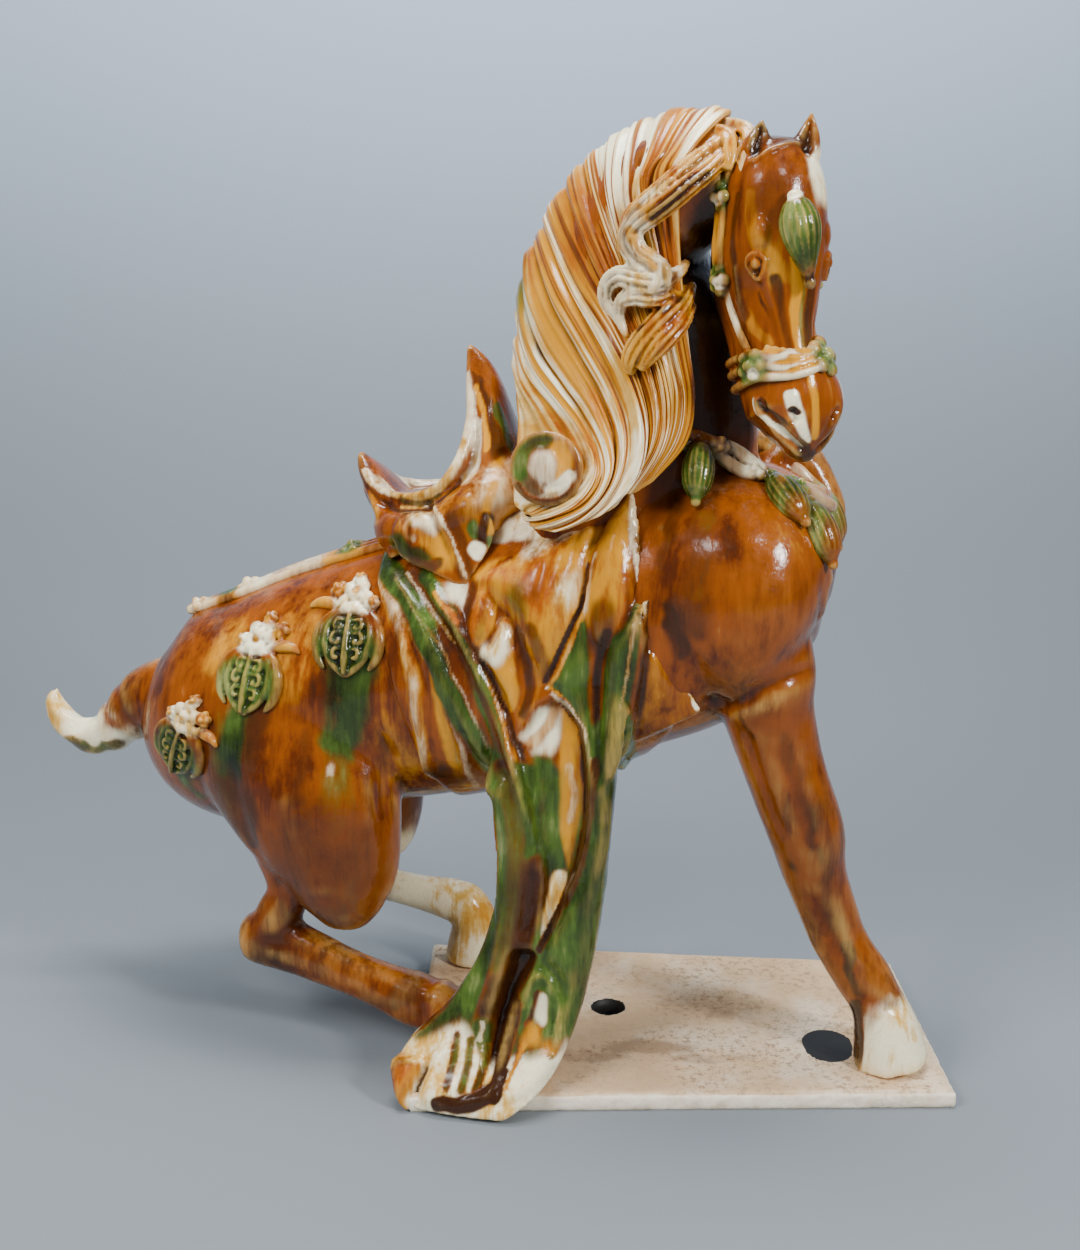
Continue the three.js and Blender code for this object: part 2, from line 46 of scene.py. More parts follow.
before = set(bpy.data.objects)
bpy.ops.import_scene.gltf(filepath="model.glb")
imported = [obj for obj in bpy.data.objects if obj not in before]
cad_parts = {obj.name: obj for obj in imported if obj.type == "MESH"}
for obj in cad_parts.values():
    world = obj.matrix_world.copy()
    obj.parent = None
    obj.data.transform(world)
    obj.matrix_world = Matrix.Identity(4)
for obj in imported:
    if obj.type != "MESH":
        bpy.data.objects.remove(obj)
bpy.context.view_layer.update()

# The figure is drawn in millimetres on its own grid: u forward, v to its left, z up from the slab.
MM = 0.001
FIGURE_AT = (-150, 35)
FIGURE_TURN = math.radians(-14)
SLAB_LOW, SLAB_HIGH = (np.array(corner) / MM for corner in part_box("plinth"))
FORWARD = np.array((math.cos(FIGURE_TURN), math.sin(FIGURE_TURN), 0))
LEFTWARD = np.array((-math.sin(FIGURE_TURN), math.cos(FIGURE_TURN), 0))
UPWARD = np.array((0, 0, 1))
ORIGIN = np.array((*FIGURE_AT, SLAB_HIGH[2]))

# On the slab, in millimetres from its middle
PLINTH_FAR_RIGHT = 88.5
VENT_AT = (-42, 16)
VENT_RADIUS = 11
VENT_FLARE = 0.8
PIT_AT = (69, 58)
POOL_AT = (102, -38)
POOL_SIZE = (17, 21)
STAINS = (
    (-20, -40, 44, 12, 0.85), (20, -55, 40, 10, 0.6), (-60, -52, 40, 12, 0.7), (28, 20, 60, 36, 0.5),
    (-70, 40, 50, 30, 0.45), (110, 30, 30, 20, 0.3), (60, -20, 40, 16, 0.4),
)


def turned_to_world(directions):
    """Turns directions on the figure's grid into world directions."""
    directions = np.asarray(directions, float)
    return directions[..., 0:1] * FORWARD + directions[..., 1:2] * LEFTWARD + directions[..., 2:3] * UPWARD


def turned_to_figure(directions):
    """Turns world directions into directions on the figure's grid."""
    return np.stack((directions @ FORWARD, directions @ LEFTWARD, directions @ UPWARD), axis=-1)


def placed(points):
    """Turns figure points in millimetres into world points in metres."""
    return (turned_to_world(points) + ORIGIN) * MM


def on_figure(points):
    """Turns world points in metres into figure points in millimetres."""
    return turned_to_figure(np.asarray(points, float) / MM - ORIGIN)


# Number helpers, on arrays
def mix(a, b, f):
    return a + (b - a) * f


def smoothstep(low, high, x):
    f = np.clip((x - low) / (high - low), 0, 1)
    return f * f * (3 - 2 * f)


def bump(x, middle, width):
    return np.exp(-(((x - middle) / width) ** 2))


def unit(vectors):
    return vectors / np.maximum(np.linalg.norm(vectors, axis=-1, keepdims=True), 1e-12)


def along(rows, f, *column):
    """Reads rows of numbers at f from 0 to 1, on a smooth curve through them all. A column says which
    entry of each row is read, where every point has its own."""
    rows = np.asarray(rows, float)
    last = len(rows) - 1
    at = np.clip(np.asarray(f, float), 0, 1) * last
    i = np.minimum(at.astype(int), last - 1)
    x = (at - i)[..., None]
    p0, p1, p2, p3 = (rows[(np.clip(i + k, 0, last), *column)] for k in (-1, 0, 1, 2))
    return 0.5 * (
        2 * p1 + (p2 - p0) * x + (2 * p0 - 5 * p1 + 4 * p2 - p3) * x**2 + (3 * p1 - p0 - 3 * p2 + p3) * x**3
    )


def cloudy(points, size, seed=0):
    """Soft noise from -1 to 1 at each point, in blotches of a size in millimetres."""
    shifted = np.asarray(points, float) / size + seed * 17.3
    return np.array([noise.noise(Vector(p)) for p in shifted])


class Limb:
    """A rounded form. Each station is u, v, z, half-width, radius above, radius below,
    then how much narrower it is above and how far its width is turned, in degrees."""

    def __init__(self, stations):
        self.stations = np.array([(list(row) + [0, 0])[:8] for row in stations], float)

    def frame(self, f):
        here = along(self.stations, f)
        ahead = along(self.stations, np.minimum(1, f + 0.004))
        behind = along(self.stations, np.maximum(0, f - 0.004))
        tangent = unit(ahead[..., :3] - behind[..., :3])
        turn = np.radians(here[..., 7])
        side = np.stack((-np.sin(turn), np.cos(turn), np.zeros_like(turn)), axis=-1)
        side = unit(side - tangent * np.sum(side * tangent, axis=-1, keepdims=True))
        return here, side, np.cross(tangent, side)

    def find(self, coordinate, value):
        """How far along the axis reaches a value of u (0) or z (2)."""
        rising = self.stations[-1][coordinate] > self.stations[0][coordinate]
        low = np.zeros_like(np.asarray(value, float))
        high = low + 1
        for _ in range(20):
            middle = (low + high) / 2
            short = (along(self.stations, middle)[..., coordinate] < value) == rising
            low = np.where(short, middle, low)
            high = np.where(short, high, middle)
        return low

    def point(self, f, degrees, lift=0, share=1):
        """The surface at f along: 0 degrees is its left side, 90 above, 180 its right side."""
        f, degrees = np.broadcast_arrays(np.asarray(f, float), np.asarray(degrees, float))
        here, side, up = self.frame(f)
        a = np.radians(degrees)
        rise = np.sin(a)
        across = np.cos(a) * (here[..., 3] * (1 - here[..., 6] * rise) + lift)
        upward = rise * (np.where(rise > 0, here[..., 4], here[..., 5]) + lift)
        return here[..., :3] + side * (across * share)[..., None] + up * (upward * share)[..., None]

    def mesh(self, sides=32, steps=40, shape=None):
        """A closed mesh of the form in world metres; shape(f, degrees) adds to the radius."""
        bm = round_blank(sides, steps)

        def move(blank):
            f = 0.5 - blank[:, 2]
            degrees = np.degrees(np.arctan2(blank[:, 1], blank[:, 0]))
            share = (np.hypot(blank[:, 0], blank[:, 1]) > 0.5).astype(float)
            lift = 0 if shape is None else shape(f, degrees)
            return placed(self.point(f, degrees, lift, share))

        return reshaped(bm, move)


def cord(points):
    """A round cord, lock or fold along listed points, each u, v, z, radius."""
    return Limb([(u, v, z, r, r, r) for u, v, z, r in points])


# Mesh helpers
# How far off the figure's middle plane a side begins, in millimetres
SIDE_BEGINS = 12


def vertices_of(mesh, wanted="co"):
    out = np.empty(len(mesh.vertices) * 3)
    mesh.vertices.foreach_get(wanted, out)
    return out.reshape(-1, 3)


def normals_of(mesh):
    return vertices_of(mesh, "normal")


def set_vertices(mesh, points):
    mesh.vertices.foreach_set("co", np.ascontiguousarray(points, dtype=float).ravel())
    mesh.update()


def outward(bm):
    """Turns a closed shell's faces outwards."""
    bmesh.ops.recalc_face_normals(bm, faces=bm.faces[:])
    if bm.calc_volume(signed=True) < 0:
        bmesh.ops.reverse_faces(bm, faces=bm.faces[:])


def ended(bm, name="clay"):
    """Turns a finished bmesh into a mesh."""
    mesh = bpy.data.meshes.new(name)
    bm.to_mesh(mesh)
    bm.free()
    return mesh


def flat_blank(across, down, thickness=0.1):
    """A closed square sheet, 1 wide and finely divided, to be bent into a form."""
    bm = bmesh.new()
    bmesh.ops.create_grid(bm, x_segments=across, y_segments=down, size=0.5)
    bmesh.ops.solidify(bm, geom=bm.faces[:], thickness=thickness)
    return bm


def round_blank(around, down):
    """A closed drum, 1 high and finely divided, to be bent into a form."""
    bm = bmesh.new()
    bmesh.ops.create_cone(bm, cap_ends=True, cap_tris=True, segments=around, radius1=1, radius2=1, depth=1)
    ribs = [e for e in bm.edges if abs(e.verts[0].co.z - e.verts[1].co.z) > 0.5]
    bmesh.ops.subdivide_edges(bm, edges=ribs, cuts=down - 1)
    return bm


def reshaped(bm, move):
    """Ends a bmesh as a mesh, with its points moved by a function and its faces outward."""
    blank = np.array([v.co for v in bm.verts])
    for vertex, point in zip(bm.verts, move(blank)):
        vertex.co = point
    outward(bm)
    return ended(bm)


def gathered(meshes):
    """One mesh holding several."""
    bm = bmesh.new()
    for mesh in meshes:
        bm.from_mesh(mesh)
        bpy.data.meshes.remove(mesh)
    return ended(bm)


def shown(name, data):
    """An object in the scene."""
    obj = bpy.data.objects.new(name, data)
    bpy.context.collection.objects.link(obj)
    return obj


def shaped(*objects):
    """The mesh that the first object's modifiers make; then the objects are thrown away."""
    mesh = bpy.data.meshes.new_from_object(objects[0].evaluated_get(bpy.context.evaluated_depsgraph_get()))
    for obj in objects:
        data = obj.data
        bpy.data.objects.remove(obj)
        bpy.data.meshes.remove(data)
    return mesh


def fused(meshes, voxel, smoothing):
    """Melts closed meshes into one skin with soft joints, as pressed clay is."""
    source = shown("fusing", gathered(meshes))
    melt = source.modifiers.new("Melt", "REMESH")
    melt.mode = "VOXEL"
    melt.voxel_size = voxel * MM
    soften = source.modifiers.new("Soften", "SMOOTH")
    soften.factor = 0.5
    soften.iterations = smoothing
    return shaped(source)


def finished(name, mesh, material, smooth=True):
    """Makes the mesh an object of the horse, with its material."""
    obj = shown(name, mesh)
    mesh.name = name
    mesh.materials.clear()
    mesh.materials.append(material)
    mesh.polygons.foreach_set("use_smooth", [smooth] * len(mesh.polygons))
    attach(obj, "root")
    return obj


def neighbour_mean(mesh):
    """A function that averages per-vertex values over each vertex's neighbours."""
    pairs = np.empty(len(mesh.edges) * 2, dtype=int)
    mesh.edges.foreach_get("vertices", pairs)
    a, b = pairs.reshape(-1, 2).T
    count = len(mesh.vertices)
    ends = np.concatenate((a, b))
    others = np.concatenate((b, a))
    valence = np.maximum(np.bincount(ends, minlength=count), 1)

    def mean(values):
        columns = np.atleast_2d(values.T)
        totals = [np.bincount(ends, c[others], minlength=count) for c in columns]
        means = np.stack(totals, axis=-1) / valence[:, None]
        return means[:, 0] if values.ndim == 1 else means

    return mean


def crispness(mesh, reach=3, rounds=2):
    """How far each point stands proud or, below 0, lies sunk against its surroundings, in millimetres."""
    mean = neighbour_mean(mesh)
    points = vertices_of(mesh)
    wide = points
    for _ in range(reach):
        wide = mean(wide)
    proud = np.sum((points - wide) * normals_of(mesh), axis=1) / MM
    for _ in range(rounds):
        proud = mean(proud)
    return proud


def paint(mesh, name, columns):
    """Stores up to four values per vertex as a colour attribute."""
    count = len(mesh.vertices)
    values = np.ones((count, 4))
    for i, column in enumerate(columns):
        values[:, i] = column
    layer = mesh.color_attributes.new(name, "FLOAT_COLOR", "POINT")
    layer.data.foreach_set("color", np.clip(values, 0, 1).astype(np.float32).ravel())


def ball(at, radii, forward=(1, 0, 0), segments=24):
    """A flattened ball in figure millimetres; its third radius lies along a direction."""
    bm = bmesh.new()
    bmesh.ops.create_uvsphere(bm, u_segments=segments, v_segments=segments // 2, radius=1)
    z = unit(np.asarray(forward, float))
    x = unit(np.cross((0.02, 0, 1), z))
    basis = np.stack((x, np.cross(z, x), z))
    return reshaped(bm, lambda blank: placed(np.asarray(at) + (blank * radii) @ basis))


class Outline:
    """A closed shape as it is seen from one side of the figure, through (u, z) points."""

    def __init__(self, marks, side=-1):
        marks = np.asarray(marks, float)
        count = len(marks)
        ring = np.concatenate((marks[-1:], marks, marks[:2]))
        self.ring = along(ring, (1 + np.arange(count * 5) / 5) / (count + 2))
        self.side = side

    def on(self, side):
        """The same shape on one side or the other."""
        other = copy.copy(self)
        other.side = side
        return other

    def depth(self, points, margin):
        """How deep inside it each point lies, in millimetres, and negative outside."""
        out = np.full(len(points), -float(margin))
        flat = points[:, (0, 2)]
        near = (points[:, 1] * self.side > SIDE_BEGINS) & np.all(flat > self.ring.min(0) - margin, axis=1)
        near = np.nonzero(near & np.all(flat < self.ring.max(0) + margin, axis=1))[0]
        if not len(near):
            return out
        start = self.ring
        way = np.roll(start, -1, 0) - start
        reach = flat[near, None] - start
        share = np.clip(np.sum(reach * way, axis=2) / np.maximum(np.sum(way * way, axis=1), 1e-9), 0, 1)
        away = np.linalg.norm(reach - share[..., None] * way, axis=2).min(1)
        height = flat[near, 1:2]
        spans = (start[:, 1] > height) != (start[:, 1] + way[:, 1] > height)
        steep = np.where(np.abs(way[:, 1]) < 1e-9, 1e-9, way[:, 1])
        left = flat[near, 0:1] < start[:, 0] + (height - start[:, 1]) * way[:, 0] / steep
        inside = np.sum(spans & left, axis=1) % 2 == 1
        out[near] = np.where(inside, away, -away)
        return out


def near_path(points, marks, reach, side=-1):
    """The points within reach of a path, how far off they are, and how far along it. The path's marks
    are u, v, z, or only u, z for a path that is seen from one side."""
    path = along(marks, np.linspace(0, 1, 12 * len(marks)))
    seen = np.ones(len(points), bool)
    if path.shape[1] == 2:
        seen = points[:, 1] * side > SIDE_BEGINS
        points = points[:, (0, 2)]
    near = seen & np.all((points > path.min(0) - reach) & (points < path.max(0) + reach), axis=1)
    spots = np.nonzero(near)[0]
    if not len(spots):
        return spots, np.zeros(0), np.zeros(0)
    away = np.linalg.norm(points[spots, None] - path[None], axis=2)
    return spots, away.min(1), away.argmin(1) / (len(path) - 1)


def carved(mesh, lines, side=-1):
    """Presses grooves (or with a negative depth, raises ridges) into a mesh along marks.
    Each line is its marks in figure millimetres, a half-width and a depth."""
    points = on_figure(vertices_of(mesh))
    normals = normals_of(mesh)
    facing = smoothstep(0.0, 0.3, (normals @ LEFTWARD) * side)
    shift = np.zeros(len(points))
    for marks, width, depth in lines:
        spots, away, f = near_path(points, marks, 3 * width, side)
        taper = smoothstep(0, 0.12, f) * smoothstep(1, 0.88, f)
        press = depth * np.exp(-((away / width) ** 2)) * (0.15 + 0.85 * taper)
        shift[spots] -= press * (facing[spots] if len(marks[0]) == 2 else 1)
    set_vertices(mesh, vertices_of(mesh) + normals * (shift * MM)[:, None])


def raised(mesh, forms, side=-1):
    """Swells pads (or with a negative height, sinks panels) out of a mesh.
    Each form is its outline's (u, z) marks, a height, and how wide its rounded shoulder is."""
    points = on_figure(vertices_of(mesh))
    normals = normals_of(mesh)
    facing = smoothstep(0.0, 0.3, (normals @ LEFTWARD) * side)
    shift = np.zeros(len(points))
    for marks, height, shoulder in forms:
        deep = Outline(marks, side).depth(points, 1)
        shift += height * (1 - (1 - np.clip((deep + 0.6) / shoulder, 0, 1)) ** 2)
    set_vertices(mesh, vertices_of(mesh) + normals * (shift * facing * MM)[:, None])


def softened(mesh, rounds):
    """Rounds off what was cut and raised, as thick glaze does."""
    mean = neighbour_mean(mesh)
    points = vertices_of(mesh)
    for _ in range(rounds):
        points = mix(points, mean(points), 0.5)
    set_vertices(mesh, points)


def rippled(mesh, size, depth, seed):
    """The hand-pressed unevenness of the clay."""
    points = vertices_of(mesh)
    lift = cloudy(points / MM, size, seed) + 0.4 * cloudy(points / MM, size * 0.35, seed + 1)
    set_vertices(mesh, points + normals_of(mesh) * (lift * depth * MM)[:, None])


def sheet_mesh(rows, across, down, bulge=0.0, back=0.0, mirror=1):
    """A closed sheet between two edges. Each row is its left point, its right point and its thickness;
    its face swells out along -v, and its back lies behind that."""
    bm = flat_blank(across, down)

    def move(blank):
        s, t = blank[:, 0] * 2, 0.5 - blank[:, 1]
        outer = blank[:, 2] > blank[:, 2].mean()
        row = along(rows, t)
        at = mix(row[:, 0:3], row[:, 3:6], ((s + 1) / 2)[:, None])
        swell = np.sqrt(np.clip(1 - 0.97 * s * s, 0, 1))
        at[:, 1] += np.where(outer, -bulge * swell, back + row[:, 6] * swell)
        at[:, 1] *= mirror
        return placed(at)

    return reshaped(bm, move)


# Washes of glaze, laid one over another: each has a colour, its place, its reach and a strength. The place is
# one point in figure millimetres, with three half-sizes; or a list of marks that a trail runs along, with one
# half-width; or an outline, with how soft its edge is. A trail of u, z marks lies on the near side, unless 1
# follows it.
CREAM, GREEN, DARK, HONEY = range(4)


def washed(points, washes, seed=3, stray=1.0):
    """How much of each glaze colour lies at each point; its edges stray a little or a lot."""
    sway, wander = (
        stray * (cloudy(points, 30, seed + i) * 5 + cloudy(points, 10, seed + 5 + i) * 2.4) for i in range(2)
    )
    warp = np.column_stack((sway, wander, (sway - wander) * 2.2))
    drifted = points + warp
    settled = points + warp * 0.3
    covers = np.zeros((len(points), 4))
    for colour, place, size, strength, *side in washes:
        cover = np.zeros(len(points))
        if isinstance(place, Outline):
            edge = size * 1.6
            cover = strength * smoothstep(-edge, edge, place.depth(settled, edge * 1.01))
        elif np.ndim(place) == 1:
            away = np.linalg.norm((drifted - place) / size, axis=1)
            cover = strength * smoothstep(1.35, 0.45, away)
        else:
            where = settled if len(place[0]) == 2 else drifted
            spots, away, _ = near_path(where, place, size * 1.4, *side)
            cover[spots] = strength * smoothstep(1.35, 0.5, away / size)
        covers *= 1 - cover[:, None]
        covers[:, colour] += cover
    return covers


def glaze_over(mesh, washes, reach=3, seed=3, sharp=1.0, stray=1.0):
    """Paints a piece's glaze: its washes, then where it runs thin on ridges and pools in hollows."""
    points = on_figure(vertices_of(mesh))
    covers = washed(points, washes, seed, stray)
    paint(mesh, "glaze", [covers[:, 0], covers[:, 1], covers[:, 2]])
    proud = crispness(mesh, reach) * sharp
    dust = np.clip(normals_of(mesh)[:, 2], 0, 1) ** 2
    paint(mesh, "worn", [smoothstep(0.08, 0.5, proud), smoothstep(0.05, 0.45, -proud), dust])
    paint(mesh, "honey", [covers[:, 3], covers[:, 3], covers[:, 3]])


# Material helpers
def new_material(name):
    material = bpy.data.materials.new(name)
    material.use_nodes = True
    tree = material.node_tree
    tree.nodes.clear()
    output = tree.nodes.new("ShaderNodeOutputMaterial")
    shader = tree.nodes.new("ShaderNodeBsdfPrincipled")
    tree.links.new(shader.outputs["BSDF"], output.inputs["Surface"])
    return material, tree, shader


def put(tree, kind, inputs=None, **settings):
    """Adds a node, with its settings, and its inputs given as values or as other nodes' sockets."""
    node = tree.nodes.new(kind)
    for key, value in settings.items():
        setattr(node, key, value)
    for socket, value in (inputs or {}).items():
        if isinstance(value, bpy.types.NodeSocket):
            tree.links.new(value, node.inputs[socket])
        else:
            node.inputs[socket].default_value = value
    return node


def blended(tree, factor, a, b, blend_type="MIX"):
    """One colour over another."""
    inputs = {0: factor, 6: a, 7: b}
    return put(tree, "ShaderNodeMix", inputs, data_type="RGBA", blend_type=blend_type).outputs[2]


def sums(tree, operation, a, b, c=None):
    inputs = {0: a, 1: b} if c is None else {0: a, 1: b, 2: c}
    return put(tree, "ShaderNodeMath", inputs, operation=operation).outputs[0]


def swayed(tree, noise, share, value):
    """A value, shifted up or down by a share of a noise."""
    return sums(tree, "MULTIPLY_ADD", sums(tree, "SUBTRACT", noise, 0.5), share, value)


def times(tree, a, b):
    return sums(tree, "MULTIPLY", a, b)


def ranged(tree, value, low, high, to_low=0.0, to_high=1.0):
    inputs = {"Value": value, "From Min": low, "From Max": high, "To Min": to_low, "To Max": to_high}
    return put(tree, "ShaderNodeMapRange", inputs, interpolation_type="SMOOTHSTEP").outputs["Result"]


def ramp(tree, value, stops):
    """A colour ramp through stops, each a place from 0 to 1 and a colour."""
    node = put(tree, "ShaderNodeValToRGB", {"Fac": value})
    elements = node.color_ramp.elements
    while len(elements) < len(stops):
        elements.new(0.5)
    for element, (place, colour) in zip(elements, stops):
        element.position = place
        element.color = (*colour[:3], 1)
    return node.outputs["Color"]


def noisy(tree, vector, scale, detail=4.0, roughness=0.55):
    inputs = {"Vector": vector, "Scale": scale, "Detail": detail, "Roughness": roughness}
    return put(tree, "ShaderNodeTexNoise", inputs).outputs["Fac"]


def stretched(tree, vector, scale):
    return put(tree, "ShaderNodeMapping", {"Vector": vector, "Scale": scale}).outputs["Vector"]


def painted(tree, name):
    """The red, green and blue of a piece's painted attribute, as three sockets."""
    colour = put(tree, "ShaderNodeAttribute", attribute_name=name).outputs["Color"]
    split = put(tree, "ShaderNodeSeparateColor", {"Color": colour})
    return split.outputs["Red"], split.outputs["Green"], split.outputs["Blue"]


def uneven(tree, shader, height, strength, depth):
    """The fine unevenness of a surface, up to a depth in metres."""
    lift = put(tree, "ShaderNodeBump", {"Strength": strength, "Distance": depth, "Height": height})
    tree.links.new(lift.outputs["Normal"], shader.inputs["Normal"])


def tinted(colour, light):
    return tuple(min(1, c * light) for c in colour[:3])


def glaze_material(name, colours, gloss=0.13, crackle=1.0, flowing=False):
    """Lead glaze as it fires: amber run over cream slip, green and brown trails, pools and thin ridges."""
    material, tree, shader = new_material(name)
    place = put(tree, "ShaderNodeTexCoord").outputs["Object"]
    if flowing:
        place = put(tree, "ShaderNodeAttribute", attribute_name="flow").outputs["Vector"]
    mottle = noisy(tree, place, 15, 5)
    runs = noisy(tree, stretched(tree, place, (62, 62, 9)), 1, 6, 0.6)
    trickle = noisy(tree, stretched(tree, place, (190, 190, 26)), 1, 4, 0.6)
    fine = noisy(tree, place, 420, 3)
    cream, green, dark = painted(tree, "glaze")
    ridge, hollow, dust = painted(tree, "worn")
    honey = painted(tree, "honey")[0]

    def cover(amount, spread):
        strayed = swayed(tree, trickle, spread * 0.6, swayed(tree, runs, spread, amount))
        return ranged(tree, strayed, 0.12, 0.88)

    tone = swayed(tree, trickle, 0.45, swayed(tree, runs, 0.75, mottle))
    amber, thin_amber, straw, leaf = (colours[key] for key in ("amber", "honey", "straw", "green"))
    body = ramp(tree, tone, [
        (0.16, colours["dark"]), (0.36, colours["russet"]), (0.52, amber), (0.7, tinted(amber, 1.35)),
        (0.92, thin_amber),
    ])
    pale = ramp(tree, tone, [
        (0.22, amber), (0.37, tinted(amber, 1.7)), (0.52, thin_amber), (0.82, tinted(thin_amber, 1.3)),
    ])
    body = blended(tree, cover(honey, 0.8), body, pale)
    tan = 0.36 if flowing else 0.3
    slip = ramp(tree, swayed(tree, trickle, 0.5, mottle), [
        (tan, thin_amber), (tan + 0.1, straw), (tan + 0.2, colours["cream"]),
        (0.8, tinted(colours["cream"], 1.15)),
    ])
    body = blended(tree, cover(cream, 0.7), body, slip)
    copper = ramp(tree, tone, [
        (0.28, tinted(leaf, 0.16)), (0.47, tinted(leaf, 0.7)), (0.62, tinted(leaf, 1.5)),
        (0.82, colours["pale_green"]),
    ])
    body = blended(tree, cover(green, 0.8), body, copper)
    body = blended(tree, cover(dark, 0.9), body, (*colours["dark"][:3], 1))
    # Thin on ridges, pooled in hollows
    thin = blended(tree, 0.55, body, (*straw[:3], 1))
    body = blended(tree, times(tree, ridge, ranged(tree, trickle, 0.35, 0.6, 0.25, 0.7)), body, thin)
    pooled = blended(tree, 0.75, body, (*tinted(amber, 0.3), 1), "MULTIPLY")
    body = blended(tree, times(tree, hollow, 0.8), body, pooled)
    # Burial dust and fine crackle
    grime = times(tree, dust, ranged(tree, noisy(tree, place, 34, 6, 0.7), 0.5, 0.72))
    body = blended(tree, times(tree, grime, 0.22), body, (*colours["dust"][:3], 1))
    cells = put(tree, "ShaderNodeTexVoronoi", {"Vector": place, "Scale": 260.0}, feature="DISTANCE_TO_EDGE")
    cracks = ranged(tree, cells.outputs["Distance"], 0.0, 0.03, 0.3 * crackle, 0.0)
    cracks = times(tree, cracks, sums(tree, "MULTIPLY_ADD", cream, 0.8, 0.2))
    body = blended(tree, cracks, body, (*tinted(straw, 0.35), 1))
    tree.links.new(body, shader.inputs["Base Color"])
    rough = sums(tree, "MULTIPLY_ADD", grime, 0.45, gloss)
    rough = sums(tree, "MULTIPLY_ADD", ranged(tree, fine, 0.35, 0.75), 0.1, rough)
    tree.links.new(rough, shader.inputs["Roughness"])
    shader.inputs["Coat Weight"].default_value = 0.12
    shader.inputs["Coat Roughness"].default_value = 0.05
    shader.inputs["IOR"].default_value = 1.45
    height = sums(tree, "MULTIPLY_ADD", fine, 0.12, noisy(tree, place, 46, 3))
    height = sums(tree, "MULTIPLY_ADD", trickle, 0.35, height)
    uneven(tree, shader, height, 0.55, 0.0016)
    return material


def glaze_colours():
    props = bpy.context.scene.horse_glaze
    return {name: tuple(getattr(props, name)) for name in HorseGlaze.__annotations__}


# The figure's forms, from the rump forward, as the solids have them
TRUNK = Limb([
    (-222, 0, 205, 8, 8, 8), (-210, 0, 202, 42, 42, 48), (-175, 0, 202, 68, 72, 78),
    (-120, 0, 212, 80, 82, 88), (-60, 0, 232, 82, 86, 88), (0, 0, 250, 80, 88, 92, 0.08),
    (60, 0, 268, 79, 94, 94, 0.12), (120, 0, 288, 79, 96, 90, 0.12), (170, 0, 303, 80, 90, 84),
    (215, 0, 312, 66, 76, 64), (243, 0, 312, 38, 48, 38), (252, 0, 311, 6, 8, 6),
])
BREAST = Limb([
    (138, -22, 282, 30, 40, 24), (168, -26, 303, 54, 74, 62), (205, -30, 311, 59, 74, 66),
    (234, -30, 312, 44, 54, 40), (250, -29, 310, 10, 14, 12),
])
NECK = Limb([
    (72, 0, 300, 60, 40, 76, 0.1, 0), (92, 0, 350, 60, 46, 104, 0.15, 0), (106, -1, 400, 50, 46, 98, 0.2, -4),
    (110, -4, 450, 43, 50, 87, 0.25, -10), (114, -11, 500, 39, 50, 76, 0.25, -20),
    (132, -24, 541, 36, 41, 56, 0.2, -35), (164, -41, 560, 33, 25, 44, 0.1, -48),
    (192, -52, 562, 26, 19, 34, 0, -52),
])
HEAD_TURN = -52
HEAD = Limb([(*row, 0, HEAD_TURN) for row in (
    (203, -50, 574, 8, 6, 8), (205, -52, 568, 21, 18, 24), (210, -56, 554, 28, 28, 34),
    (212, -57, 534, 30, 31, 38), (212, -57, 510, 31, 32, 40), (213, -58, 488, 27, 29, 38),
    (215, -61, 468, 23, 26, 33), (219, -64, 449, 24, 25, 30), (229, -66, 430, 29, 24, 29),
    (233, -70, 415, 20, 17, 21), (235, -72, 404, 10, 9, 12), (237, -73, 397, 3, 3, 3),
)])
